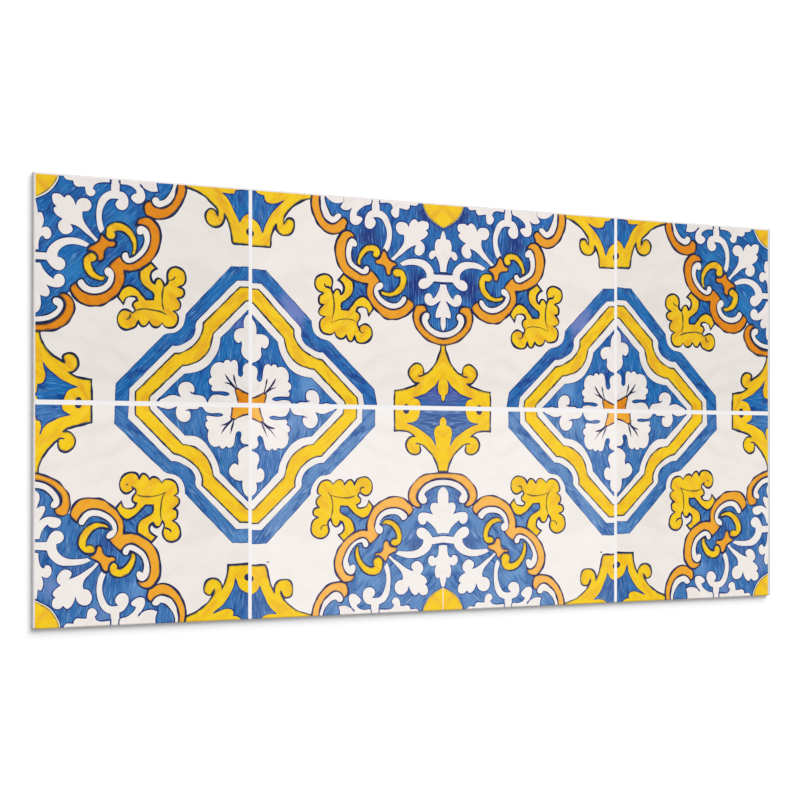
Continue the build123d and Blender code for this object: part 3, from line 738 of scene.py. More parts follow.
@dataclass
class TilePrint:
    """One hand-painted tile, cut into areas of one paint each."""

    name: str
    width: float
    height: float
    margin_left: float
    margin_top: float
    pulls: str = ""
    line_scale: float = 1.0
    sample_step: float = 1.3
    stroke_step: float = 0.8
    glaze_angle: float = 20.0
    contour_fill: float = 0.98
    contour_wobble: float = 0.84
    wobble_scale: float = 0.16
    taper_start: float = 0.4
    taper_rate: float = 3.0
    shade_depth: float = 1.7
    regions: list[Region] = field(default_factory=list)

    def lay_out(self) -> None:
        """Collects the tile's areas from the ground up, in the order they are painted."""
        left, top, right, bottom = self.margin_left, self.margin_top, self.width, self.height
        corners = [(left, top), (right, top), (right, bottom), (left, bottom)]
        self.add(corners, Paint.GLAZE, self.glaze_angle, 0.0)
        hand = HandPull(self.pulls) if self.pulls else None
        for number, motif in enumerate(MOTIFS, start=1):
            if self.name not in motif.tiles:
                continue
            points, sharp = read_line(motif.outline)
            if hand and len(motif.tiles) > 1:
                points = hand.move(points)
            line = smooth_curve(points, sharp, True, self.sample_step)
            if signed_area(line) < 0:
                line.reverse()
            seed = number * SHAPE_SEED
            brush_angle = FIELD_BRUSH[self.name] if motif.name == "field" else motif.brush_angle
            self.add(line, motif.paint, brush_angle, seed, tuple(line))
            if motif.warm:
                self.add_shade(line, motif, seed)
            if motif.contour > 0:
                width = motif.contour * self.line_scale
                self.add_contour(line, width, seed, motif.line_paint, motif.inner_share)
        for number, stroke in enumerate(STROKES, start=1):
            if self.name not in stroke.tiles:
                continue
            points, sharp = read_line(stroke.line)
            if hand and len(stroke.tiles) > 1:
                points = hand.move(points)
            line = smooth_curve(points, sharp, False, self.stroke_step)
            width = stroke.width * self.line_scale
            self.add_contour(line, width, number * STROKE_SEED, stroke.paint)

    def add(
        self, polygon: list[Point], paint: Paint, angle: float, seed: float, outline: tuple[Point, ...] = ()
    ) -> None:
        """Adds one area, counterclockwise; slivers are left out.

        Args:
            polygon: the area's corners.
            paint: what it is painted with.
            angle: the brush's direction in degrees.
            seed: what sets its streaks apart from its neighbours'.
            outline: the whole shape's outline, where its paint darkens towards it.
        """
        area = signed_area(polygon)
        if abs(area) < SLIVER:
            return
        ordered = polygon if area > 0 else polygon[::-1]
        self.regions.append(Region(ordered, paint, angle, seed, outline))

    def add_shade(self, line: list[Point], motif: Motif, seed: float) -> None:
        """Adds the band inside a warm shape's outline, where its paint shades off.

        Args:
            line: the shape's outline, counterclockwise.
            motif: the shape.
            seed: the shape's seed.
        """
        count = len(line)
        outline = tuple(line)
        inner = []
        for index, (x, y) in enumerate(line):
            normal = self.mitre(line[index - 1], (x, y), line[(index + 1) % count])
            inner.append((x - normal[0] * self.shade_depth, y - normal[1] * self.shade_depth))
        for index in range(count):
            ahead = (index + 1) % count
            first = [inner[index], line[index], line[ahead]]
            second = [inner[index], line[ahead], inner[ahead]]
            if signed_area(first) > 0 and signed_area(second) > 0:
                self.add([*first, inner[ahead]], motif.paint, motif.brush_angle, seed, outline)

    def add_contour(
        self, line: list[Point], width: float, seed: float, paint: Paint, inner_share: float | None = None
    ) -> None:
        """Adds a dark brushed line as a chain of narrow areas.

        Args:
            line: the line's samples, counterclockwise where it is closed.
            width: its usual width.
            seed: what its wobble starts from.
            paint: what it is drawn with.
            inner_share: how much of a closed line lies inside; a stroke with open ends has none.
        """
        closed = inner_share is not None
        count = len(line)
        inner: list[Point] = []
        outer: list[Point] = []
        for index, (x, y) in enumerate(line):
            before = line[index - 1] if closed or index else line[index]
            after = line[(index + 1) % count] if closed or index + 1 < count else line[index]
            normal = self.mitre(before, (x, y), after)
            wobble = noise.noise(Vector((x * self.wobble_scale, y * self.wobble_scale, seed)))
            drawn = width * (self.contour_fill + self.contour_wobble * wobble)
            if closed:
                inside, outside = inner_share * drawn, (1 - inner_share) * drawn
            else:
                along = index / (count - 1)
                nearest = min(along, 1 - along)
                taper = min(1.0, self.taper_start + self.taper_rate * nearest)
                inside = outside = 0.5 * drawn * taper
            inner.append((x - normal[0] * inside, y - normal[1] * inside))
            outer.append((x + normal[0] * outside, y + normal[1] * outside))
        for index in range(count if closed else count - 1):
            ahead = (index + 1) % count
            rise, run = line[ahead][1] - line[index][1], line[ahead][0] - line[index][0]
            angle = math.degrees(math.atan2(rise, run))
            first = [inner[index], outer[index], outer[ahead]]
            second = [inner[index], outer[ahead], inner[ahead]]
            if signed_area(first) > 0 and signed_area(second) > 0:
                self.add([*first, inner[ahead]], paint, angle, seed)
            else:
                self.add(first, paint, angle, seed)
                self.add(second, paint, angle, seed)

    @staticmethod
    def mitre(before: Point, at: Point, after: Point) -> Point:
        """Gives the outward mitre at a point of a counterclockwise line.

        Args:
            before: the point before it.
            at: the point itself.
            after: the point after it.

        Returns:
            The mitre, about one long, and longer at a sharp corner.
        """
        first = Vector((at[1] - before[1], before[0] - at[0]))
        second = Vector((after[1] - at[1], at[0] - after[0]))
        first = first.normalized() if first.length > TINY else second.normalized()
        second = second.normalized() if second.length > TINY else first
        both = first + second
        if both.length < 1e-6:
            return (second.x, second.y)
        both.normalize()
        both /= max(both.dot(first), MITRE_LIMIT)
        return (both.x, both.y)

    def partition(self) -> tuple[list[Vector], list[tuple[tuple[int, ...], Region]]]:
        """Cuts the plane along every outline and gives each triangle its topmost area.

        Overlapping outlines have no bmesh operator of their own, so Blender's constrained
        triangulation cuts them. It can name a wrong owner for a triangle or miss one, so its
        owners are tested against the triangle's middle, and the shapes painted above them too.

        Returns:
            The cut plane's points, and its triangles with the area that each shows.
        """
        places: list[Vector] = []
        faces: list[list[int]] = []
        for region in self.regions:
            first = len(places)
            places.extend(Vector(point) for point in region.polygon)
            faces.append(list(range(first, len(places))))
        cut = delaunay_2d_cdt(places, [], faces, CUT_INSIDE, CUT_TOLERANCE, True)
        points, _, triangles, _, _, owners = cut
        regions = self.regions
        shapes = [number for number, region in enumerate(regions) if region.outline == tuple(region.polygon)]
        shapes.reverse()
        shown = []
        for triangle, owner in zip(triangles, owners):
            if 0 not in owner:
                continue
            x = sum(points[index].x for index in triangle) / 3
            y = sum(points[index].y for index in triangle) / 3
            owning = sorted(owner, reverse=True)
            topmost = next(number for number in owning if regions[number].holds(x, y))
            found = (number for number in shapes if number < topmost or regions[number].covers(x, y))
            shown.append((tuple(triangle), regions[max(topmost, next(found, 0))]))
        return points, shown


@dataclass
class PrintedFace:
    """The print: two by two painted tiles, mirrored onto the other half of the panel."""

    width: float = BOARD_WIDTH
    height: float = BOARD_HEIGHT
    face_height: float = BOARD_THICKNESS
    lift: float = 0.05
    left_margin: float = 1.3
    right_margin: float = 2.9
    top_margin: float = 2.0
    bottom_margin: float = 0.12
    rim_radius: float = 1.0
    rim_cuts: tuple[float, ...] = (0.25, 0.4, 0.6, 0.8, 1.0)
    faint_lines: float = 0.85
    column_joint: Point = (148.7, 151.2)
    row_joint: Point = (149.8, 153.0)
    meshes: dict[Paint, bmesh.types.BMesh] = field(default_factory=dict)

    def tiles(self) -> list[tuple[TilePrint, bool, bool]]:
        """The four tiles, each with whether it is turned over across and down."""
        across, down = self.column_joint, self.row_joint
        middle, low = self.width / 2, self.height
        left, top, bottom = self.left_margin, self.top_margin, self.bottom_margin
        outer, inner = across[0], middle - across[1]
        upper, lower = down[0], low - down[1]
        return [
            (TilePrint("A", outer, upper, left, top), False, False),
            (TilePrint("B", inner, upper, 0.0, top, PULLS["B"]), True, False),
            (TilePrint("C", outer, lower, left, bottom, PULLS["C"]), False, True),
            (TilePrint("D", inner, lower, 0.0, bottom, PULLS["D"], self.faint_lines), True, True),
        ]

    def place(self, point: Vector, turned: bool, upturned: bool) -> Vector:
        """Takes a tile's point to its place on the panel's face, in metres."""
        x = self.width / 2 - point.x if turned else point.x
        y = self.height - point.y if upturned else point.y
        z = (self.face_height + self.lift) * MM
        return Vector(((x - self.width / 2) * MM, (self.height / 2 - y) * MM, z))

    @staticmethod
    def empty_mesh() -> bmesh.types.BMesh:
        """Starts a mesh with the print's UV maps."""
        mesh = bmesh.new()
        for name in (BAKE_MAP, BRUSH_MAP, EDGE_MAP):
            mesh.loops.layers.uv.new(name)
        return mesh

    def build(self) -> None:
        """Cuts every tile and fills one mesh for each paint."""
        self.meshes = {paint: self.empty_mesh() for paint in Paint}
        for tile, turned, upturned in self.tiles():
            tile.lay_out()
            self.add_tile(tile, turned, upturned)
        for paint, mesh in self.meshes.items():
            self.finish_mesh(mesh)
            log.info("%s: %d faces", paint.value, len(mesh.faces))

    def add_tile(self, tile: TilePrint, turned: bool, upturned: bool) -> None:
        """Adds one tile's triangles to the paints' meshes.

        Args:
            tile: the laid out tile.
            turned: whether it is mirrored from left to right.
            upturned: whether it is mirrored from top to bottom.
        """
        points, shown = tile.partition()
        used: dict[tuple[Paint, int], bmesh.types.BMVert] = {}
        depths: dict[tuple[int, int], float] = {}
        log.info("tile %s: %d areas, %d triangles", tile.name, len(tile.regions), len(shown))
        for triangle, region in shown:
            mesh = self.meshes[region.paint]
            corners = []
            for index in triangle:
                key = (region.paint, index)
                if key not in used:
                    used[key] = mesh.verts.new(self.place(points[index], turned, upturned))
                corners.append(used[key])
            face = mesh.faces.new(corners)
            self.map_brush(mesh, face, [points[index] for index in triangle], region)
            layer = mesh.loops.layers.uv[EDGE_MAP]
            for loop, index in zip(face.loops, triangle):
                edge = (index, id(region.outline))
                if edge not in depths:
                    depths[edge] = region.edge_distance(points[index].x, points[index].y)
                loop[layer].uv = (depths[edge], region.seed)

    def map_brush(
        self, mesh: bmesh.types.BMesh, face: bmesh.types.BMFace, places: list[Vector], region: Region
    ) -> None:
        """Writes a face's place along and across the brush, in centimetres.

        Args:
            mesh: the paint's mesh.
            face: the new face.
            places: its corners on the tile.
            region: the painted area it shows.
        """
        layer = mesh.loops.layers.uv[BRUSH_MAP]
        turn = math.radians(region.brush_angle)
        cos, sin = math.cos(turn), math.sin(turn)
        for loop, place in zip(face.loops, places):
            along = place.x * cos + place.y * sin
            across = place.y * cos - place.x * sin
            u = along * BRUSH_UNIT + region.seed
            v = across * BRUSH_UNIT + region.seed * SEED_SHIFT
            loop[layer].uv = (u, v)

    def finish_mesh(self, mesh: bmesh.types.BMesh) -> None:
        """Mirrors the half print, trims its right margin, maps it for the bake and bends its foot."""
        for face in [face for face in mesh.faces if face.calc_area() < SLIVER_FACE]:
            mesh.faces.remove(face)
        half = mesh.verts[:] + mesh.edges[:] + mesh.faces[:]
        bmesh.ops.mirror(mesh, geom=half, matrix=Matrix.Identity(4), merge_dist=WELD, axis="X")
        bmesh.ops.bisect_plane(
            mesh,
            geom=mesh.verts[:] + mesh.edges[:] + mesh.faces[:],
            plane_co=((self.width / 2 - self.right_margin) * MM, 0, 0),
            plane_no=(1, 0, 0),
            clear_outer=True,
        )
        mesh.normal_update()
        turned = [face for face in mesh.faces if face.normal.z < 0]
        bmesh.ops.reverse_faces(mesh, faces=turned)
        self.map_bake(mesh)
        self.bend_foot(mesh)

    def bend_foot(self, mesh: bmesh.types.BMesh) -> None:
        """Bends the foot of a flat mesh down over the board's rolled rim."""
        edge = -self.height / 2
        for cut in self.rim_cuts:
            bmesh.ops.bisect_plane(
                mesh,
                geom=mesh.verts[:] + mesh.edges[:] + mesh.faces[:],
                plane_co=(0, (edge + cut) * MM, 0),
                plane_no=(0, 1, 0),
            )
        for vert in mesh.verts:
            depth = vert.co.y / MM - edge
            if depth < self.rim_radius:
                reach = self.rim_radius - depth
                rise = math.sqrt(max(self.rim_radius**2 - reach**2, 0.0))
                vert.co.z -= (self.rim_radius - rise) * MM

    def map_bake(self, mesh: bmesh.types.BMesh) -> None:
        """Maps a flat mesh straight down onto the unit square."""
        layer = mesh.loops.layers.uv[BAKE_MAP]
        for face in mesh.faces:
            for loop in face.loops:
                place = loop.vert.co
                loop[layer].uv = (place.x / MM / self.width + 0.5, place.y / MM / self.height + 0.5)

    def joints(self) -> bmesh.types.BMesh:
        """Builds the printed joints between the tiles as flat strips."""
        mesh = self.empty_mesh()
        half_width, half_height = self.width / 2, self.height / 2
        top, bottom = half_height - self.top_margin, self.bottom_margin - half_height
        left, right = self.left_margin - half_width, half_width - self.right_margin
        inner, outer = half_width - self.column_joint[1], half_width - self.column_joint[0]
        high, low = half_height - self.row_joint[0], half_height - self.row_joint[1]
        self.strip(mesh, left, right, low, high)
        for side in (-1, 1):
            start, end = sorted((side * inner, side * outer))
            self.strip(mesh, start, end, high, top)
            self.strip(mesh, start, end, bottom, low)
        self.map_bake(mesh)
        self.bend_foot(mesh)
        return mesh

    def strip(self, mesh: bmesh.types.BMesh, left: float, right: float, low: float, high: float) -> None:
        """Adds one flat rectangle of the joints, in millimetres."""
        z = (self.face_height + self.lift) * MM
        centre = Vector(((left + right) / 2 * MM, (low + high) / 2 * MM, z))
        size = Matrix.Diagonal(((right - left) * MM, (high - low) * MM, 1, 1))
        place = Matrix.Translation(centre) @ size
        bmesh.ops.create_grid(mesh, x_segments=1, y_segments=1, size=0.5, matrix=place)

    def pieces(self, finishes: dict[Paint, "Finish"], joint_finish: "Finish") -> list[bpy.types.Object]:
        """Makes the objects, dresses them and says what they ride on.

        Args:
            finishes: the finish of each paint.
            joint_finish: the finish of the printed joints.

        Returns:
            The finished pieces.
        """
        made = []
        for paint, mesh in self.meshes.items():
            made.append(object_from(mesh, paint.value, finishes[paint].material()))
        made.append(object_from(self.joints(), "tile_joints", joint_finish.material()))
        for piece in made:
            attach(piece, "root")
        return made


def object_from(mesh: bmesh.types.BMesh, name: str, material: bpy.types.Material) -> bpy.types.Object:
    """Turns a bmesh into a named object in the scene.

    Args:
        mesh: the finished bmesh, freed here.
        name: the piece's name.
        material: what it is dressed in.

    Returns:
        The new object.
    """
    data = bpy.data.meshes.new(name)
    mesh.to_mesh(data)
    mesh.free()
    data.materials.append(material)
    made = bpy.data.objects.new(name, data)
    bpy.context.scene.collection.objects.link(made)
    return made


def linear(colour: Colour) -> tuple[float, float, float, float]:
    """Turns a screen colour from 0 to 255 into the linear colour that a shader takes."""
    parts = [part / 255 for part in colour]
    made = [part / 12.92 if part <= 0.04045 else ((part + 0.055) / 1.055) ** 2.4 for part in parts]
    return (made[0], made[1], made[2], 1.0)


class Value:
    """A number in a node tree that takes part in Python arithmetic."""

    def __init__(self, graph: "Graph", socket: bpy.types.NodeSocket) -> None:
        """Wraps an output socket of a graph."""
        self.graph = graph
        self.socket = socket

    def maths(self, operation: str, *others: "float | Value", clamp: bool = False) -> "Value":
        """Adds one Math node that starts from this value."""
        return self.graph.maths(operation, self, *others, clamp=clamp)

    def __add__(self, other: "float | Value") -> "Value":
        """This plus other."""
        return self.maths("ADD", other)

    def __radd__(self, other: float) -> "Value":
        """Other plus this."""
        return self.maths("ADD", other)

    def __sub__(self, other: "float | Value") -> "Value":
        """This minus other."""
        return self.maths("SUBTRACT", other)

    def __rsub__(self, other: float) -> "Value":
        """Other minus this."""
        return self.graph.maths("SUBTRACT", other, self)

    def __mul__(self, other: "float | Value") -> "Value":
        """This times other."""
        return self.maths("MULTIPLY", other)

    def __rmul__(self, other: float) -> "Value":
        """Other times this."""
        return self.maths("MULTIPLY", other)

    def __gt__(self, other: "float | Value") -> "Value":
        """One where this is greater, else nought."""
        return self.maths("GREATER_THAN", other)

    def __lt__(self, other: "float | Value") -> "Value":
        """One where this is less, else nought."""
        return self.maths("LESS_THAN", other)

    def __abs__(self) -> "Value":
        """This without its sign."""
        return self.maths("ABSOLUTE")

    def clamped(self) -> "Value":
        """This, held between nought and one."""
        return self.maths("ADD", 0.0, clamp=True)


Feed = float | tuple | Value | bpy.types.NodeSocket


class Graph:
    """A material's or a world's node tree, with short ways to add to it."""

    def __init__(self, name: str, kind: str = "materials") -> None:
        """Starts an empty material of that name, or an empty world."""
        self.made = getattr(bpy.data, kind).new(name)
        self.made.use_nodes = True
        self.tree = self.made.node_tree
        self.tree.nodes.clear()

    def node(self, kind: str, settings: dict | None = None, feeds: dict | None = None) -> bpy.types.Node:
        """Adds one node.

        Args:
            kind: the node's type.
            settings: its settings, set first.
            feeds: the values or links of its sockets, by name or number.

        Returns:
            The new node.
        """
        made = self.tree.nodes.new(kind)
        for key, value in (settings or {}).items():
            setattr(made, key, value)
        for key, value in (feeds or {}).items():
            self.feed(made.inputs[key], value)
        return made

    def feed(self, socket: bpy.types.NodeSocket, value: Feed) -> None:
        """Sets a socket's own value, or links it."""
        if isinstance(value, Value):
            value = value.socket
        if isinstance(value, bpy.types.NodeSocket):
            self.tree.links.new(value, socket)
        else:
            socket.default_value = value

    def maths(self, operation: str, *terms: "float | Value", clamp: bool = False) -> Value:
        """Adds one Math node and gives its result."""
        feeds = dict(enumerate(terms))
        made = self.node("ShaderNodeMath", {"operation": operation, "use_clamp": clamp}, feeds)
        return Value(self, made.outputs[0])

    def blend(self, factor: "float | Value", first: Feed, second: Feed) -> bpy.types.NodeSocket:
        """Mixes two colours."""
        settings = {"data_type": "RGBA", "clamp_factor": True}
        return self.node("ShaderNodeMix", settings, {0: factor, 6: first, 7: second}).outputs[2]

    def noise(self, place: Feed, scale: float, detail: float = 2.0, roughness: float = 0.5) -> Value:
        """Adds a noise from nought to one at a place."""
        feeds = {"Vector": place, "Scale": scale, "Detail": detail, "Roughness": roughness}
        return Value(self, self.node("ShaderNodeTexNoise", {}, feeds).outputs["Fac"])

    def ramp(self, value: Value, low: float, high: float) -> Value:
        """Rises smoothly from nought at low to one at high."""
        feeds = {"Value": value, "From Min": low, "From Max": high}
        made = self.node("ShaderNodeMapRange", {"interpolation_type": "SMOOTHSTEP"}, feeds)
        return Value(self, made.outputs["Result"])

    def background_rays(self) -> Value:
        """One for the rays that show the background, and nought for those that only light."""
        rays = self.node("ShaderNodeLightPath").outputs
        camera = Value(self, rays["Is Camera Ray"])
        glossy = Value(self, rays["Is Glossy Ray"])
        clear = Value(self, rays["Is Transmission Ray"])
        return (camera + glossy + clear).clamped()

    def place(self) -> bpy.types.NodeSocket:
        """The place on the panel, in metres."""
        return self.node("ShaderNodeTexCoord").outputs["Object"]

    def parts(self, vector: Feed) -> tuple[Value, Value, Value]:
        """A vector's three parts."""
        made = self.node("ShaderNodeSeparateXYZ", {}, {0: vector})
        return tuple(Value(self, output) for output in made.outputs)

    def vector(self, x: Feed, y: Feed, z: Feed = 0.0) -> bpy.types.NodeSocket:
        """Three values joined to a vector."""
        return self.node("ShaderNodeCombineXYZ", {}, {0: x, 1: y, 2: z}).outputs[0]

    def surface(self, constants: dict[str, Feed], varying: dict[str, Feed]) -> bpy.types.Material:
        """Ends the tree in one principled shader.

        Args:
            constants: the sockets that are the same all over.
            varying: the sockets that change over the surface.

        Returns:
            The finished material.
        """
        shader = self.node("ShaderNodeBsdfPrincipled", {}, {**constants, **varying})
        self.node("ShaderNodeOutputMaterial", {}, {"Surface": shader.outputs[0]})
        return self.made


@dataclass(frozen=True)
class Laminate:
    """The clear laminate over the print, the same all over the face."""

    roughness: float = 0.34
    specular: float = 0.11
    ior: float = 1.46
    peel_scale: float = 420.0
    peel_depth: float = 0.000012
    peel_strength: float = 0.35
    haze_scale: float = 14.0
    haze_depth: float = 0.08

    def constants(self) -> dict[str, Feed]:
        """The shader's own values for the laminate."""
        return {"Specular IOR Level": self.specular, "IOR": self.ior}

    def varying(self, graph: Graph) -> dict[str, Feed]:
        """The laminate's faint orange peel and uneven gloss.

        Args:
            graph: the material's tree.

        Returns:
            What feeds the roughness and the normal.
        """
        place = graph.place()
        peel = graph.noise(place, self.peel_scale, 2.0, 0.5)
        haze = graph.noise(place, self.haze_scale, 3.0, 0.6)
        feeds = {"Strength": self.peel_strength, "Distance": self.peel_depth, "Height": peel}
        bump = graph.node("ShaderNodeBump", {}, feeds)
        return {"Roughness": self.roughness + self.haze_depth * (haze - 0.5), "Normal": bump.outputs[0]}


class Finish:
    """What a piece is dressed in."""

    def material(self) -> bpy.types.Material:
        """Builds the finish's material."""
        raise NotImplementedError


Tones = tuple[Colour, Colour, Colour, Colour]


@dataclass(frozen=True)
class Grain:
    """A noise laid along the brush: its stretch each way, where it is cut, and how fine it is."""

    along: float
    across: float
    cut: float
    detail: float
    roughness: float

    def laid(self, graph: Graph, along: Value, across: Value, scale: float = 1.0) -> Value:
        """Lays the grain over a brush map.

        Args:
            graph: the material's tree.
            along: the place along the brush.
            across: the place across it.
            scale: how many times finer than the map it is.

        Returns:
            The noise, from nought to one.
        """
        place = graph.vector(along * self.along, across * self.across, self.cut)
        return graph.noise(place, scale, self.detail, self.roughness)


POOLS = Grain(along=0.6, across=1.5, cut=9.0, detail=3.0, roughness=0.55)
BRISTLES = Grain(along=0.5, across=1.0, cut=0.0, detail=3.0, roughness=0.65)
STRANDS = Grain(along=1.2, across=2.7, cut=4.0, detail=2.0, roughness=0.6)
SMUDGES = Grain(along=1.0, across=1.0, cut=3.0, detail=3.0, roughness=0.6)


@dataclass(frozen=True)
class Wash:
    """A soft blotch of another tone, mostly where the painter laid more or less on, and in one place also a
    painted sheen highlight.

    It is whole up to the core's share of its reach, gone at the fringe's, and ragged between.
    """

    tile: str
    centre: Point
    reach: float
    colour: Colour
    strength: float = 0.7
    core: float = 0.25
    fringe: float = 1.15
    ragged: float = 1.6

    def place(self) -> tuple[float, float, float]:
        """Its middle in metres, on the panel's right half."""
        half_width, half_height = BOARD_WIDTH / 2, BOARD_HEIGHT / 2
        across = half_width - self.centre[0] if self.tile in "AC" else self.centre[0]
        up = half_height - self.centre[1] if self.tile in "AB" else self.centre[1] - half_height
        return (across * MM, up * MM, 0.0)


@dataclass(frozen=True)
class BrushedPaint(Finish):
    """A hand-brushed colour: pools and thin places, and streaks along the stroke.

    The four tones of each set are those of the outer upper, inner upper, outer lower and
    inner lower tile. The deep tone fills the pools, the light one the streaks, and the rim
    tone is what the paint turns to towards its shape's outline.
    """

    name: str
    body: Tones
    deep: Tones
    light: Tones
    rim: Tones | None = None
    pool: float = 1.0
    pool_scale: float = 1.1
    streak: float = 1.0
    streak_scale: float = 7.0
    ruffle: float = 0.8
    pool_edge: Point = (0.43, 0.68)
    streak_edge: Point = (0.52, 0.74)
    rim_depth: float = 1.5
    rim_core: float = 0.2
    rim_ragged: float = 2.0
    smudge_scale: float = 2.3
    row_line: float = -1.5
    cloud_scale: float = 110.0
    washes: tuple[Wash, ...] = ()
    laminate: Laminate = Laminate()

    def by_tile(self, graph: Graph, tones: Tones) -> bpy.types.NodeSocket:
        """Picks each tile's own tone by its place on the panel."""
        across, up, _ = graph.parts(graph.place())
        outer = abs(across) > BOARD_WIDTH / 4 * MM
        lower = up < self.row_line * MM
        upper_tone = graph.blend(outer, linear(tones[1]), linear(tones[0]))
        lower_tone = graph.blend(outer, linear(tones[3]), linear(tones[2]))
        return graph.blend(lower, upper_tone, lower_tone)

    def washed(self, graph: Graph, colour: Feed) -> Feed:
        """Lays the washes over a colour.

        Args:
            graph: the material's tree.
            colour: the paint so far.

        Returns:
            The colour with its soft blotches.
        """
        if not self.washes:
            return colour
        x, y, _ = graph.parts(graph.place())
        mirrored = graph.vector(abs(x), y)
        cloud = graph.noise(mirrored, self.cloud_scale, 3.0, 0.6) - 0.5
        for wash in self.washes:
            feeds = {0: mirrored, 1: wash.place()}
            apart = graph.node("ShaderNodeVectorMath", {"operation": "DISTANCE"}, feeds)
            far = Value(graph, apart.outputs["Value"])
            reach = wash.reach * MM
            ragged = far + cloud * (wash.ragged * reach)
            near = 1 - graph.ramp(ragged, wash.core * reach, wash.fringe * reach)
            colour = graph.blend(near * wash.strength, colour, linear(wash.colour))
        return colour

    def material(self) -> bpy.types.Material:
        """Builds the paint's material under the laminate."""
        graph = Graph(self.name)
        brush = graph.node("ShaderNodeUVMap", {"uv_map": BRUSH_MAP}).outputs[0]
        along, across, _ = graph.parts(brush)
        combed = across * self.streak_scale
        pools = POOLS.laid(graph, along, across, self.pool_scale)
        bristles = BRISTLES.laid(graph, along, combed)
        strands = STRANDS.laid(graph, along, combed)
        ruffled = pools + (bristles - 0.5) * (self.ruffle * self.streak)
        pooled = graph.ramp(ruffled, *self.pool_edge) * self.pool
        split = bristles + (strands - 0.5) * self.ruffle
        streaked = graph.ramp(split, *self.streak_edge) * self.streak
        colour = graph.blend(pooled, self.by_tile(graph, self.body), self.by_tile(graph, self.deep))
        colour = self.washed(graph, colour)
        colour = graph.blend(streaked, colour, self.by_tile(graph, self.light))
        if self.rim:
            edge = graph.node("ShaderNodeUVMap", {"uv_map": EDGE_MAP}).outputs[0]
            depth, _, _ = graph.parts(edge)
            smudge = SMUDGES.laid(graph, along, across, self.smudge_scale)
            smudged = depth + (smudge - 0.5) * (self.rim_ragged * self.rim_depth)
            near = 1 - graph.ramp(smudged, self.rim_core * self.rim_depth, self.rim_depth)
            colour = graph.blend(near, colour, self.by_tile(graph, self.rim))
        varying = {"Base Color": colour, **self.laminate.varying(graph)}
        return graph.surface(self.laminate.constants(), varying)


@dataclass(frozen=True)
class BoardFinish(Finish):
    """The bare board: pale film round the face, foamed PVC at the cut sides, release paper behind.

    At the right end the film is darkened with painted shade, between two places in metres from the board's
    middle.
    """

    film: Colour = (234, 231, 230)
    film_cloud: Colour = (226, 222, 222)
    # The grey of the painted shade on the film at the right end of the face.
    film_right_shade: Colour = (206, 204, 205)
    cut: Colour = (222, 217, 216)
    cut_cell: Colour = (208, 203, 202)
    paper: Colour = (232, 228, 216)
    paper_fibre: Colour = (222, 217, 203)
    cell_scale: float = 2600.0
    cloud_scale: float = 22.0
    fibre_scale: float = 900.0
    cell_contrast: float = 1.6
    film_mottle: float = 0.5
    fibre_mottle: float = 0.6
    paper_mottle: float = 0.3
    cell_depth: float = 0.00006
    fibre_depth: float = 0.00001
    relief_strength: float = 0.5
    back_facing: float = -0.9
    side_facing: Point = (0.2, 0.7)
    roughness: float = 0.38
    side_roughness: float = 0.3
    back_roughness: float = 0.1
    specular: float = 0.35
    # Where the painted shade at the right end starts and where it is full, in metres from the middle.
    shade_start: float = 0.296
    shade_end: float = 0.2985

    def material(self) -> bpy.types.Material:
        """Builds the board's material, split by the way each face looks."""
        graph = Graph("board")
        place = graph.place()
        across, _, _ = graph.parts(place)
        normal = graph.node("ShaderNodeNewGeometry").outputs["Normal"]
        _, _, facing = graph.parts(normal)
        cells = graph.noise(place, self.cell_scale, 2.0, 0.6)
        clouds = graph.noise(place, self.cloud_scale, 3.0, 0.55)
        back = facing < self.back_facing
        side = 1 - graph.ramp(facing, *self.side_facing)
        film = graph.blend(clouds * self.film_mottle, linear(self.film), linear(self.film_cloud))
        # Painted shade: the film turns grey towards the board's right end.
        edge = graph.ramp(across, self.shade_start, self.shade_end)
        film = graph.blend(edge, film, linear(self.film_right_shade))
        open_cells = (cells - 0.5) * self.cell_contrast + 0.5
        cut = graph.blend(open_cells, linear(self.cut_cell), linear(self.cut))
        fibres = graph.noise(place, self.fibre_scale, 4.0, 0.7)
        mottle = fibres * self.fibre_mottle + clouds * self.paper_mottle
        paper = graph.blend(mottle, linear(self.paper_fibre), linear(self.paper))
        colour = graph.blend(back, graph.blend(side, film, cut), paper)
        relief = cells * side * self.cell_depth + fibres * back * self.fibre_depth
        feeds = {"Strength": self.relief_strength, "Distance": 1.0, "Height": relief}
        bump = graph.node("ShaderNodeBump", {}, feeds)
        roughness = self.roughness + self.side_roughness * side + self.back_roughness * back
        varying = {"Base Color": colour, "Roughness": roughness, "Normal": bump.outputs[0]}
        return graph.surface({"Specular IOR Level": self.specular}, varying)


@dataclass
class Board:
    """The CAD board, dressed but otherwise as it was packed."""

    finish: Finish = BoardFinish()

    def dress(self) -> bpy.types.Object:
        """Gives the board its material."""
        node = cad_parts["panel"]
        node.data.materials.clear()
        node.data.materials.append(self.finish.material())
        return node


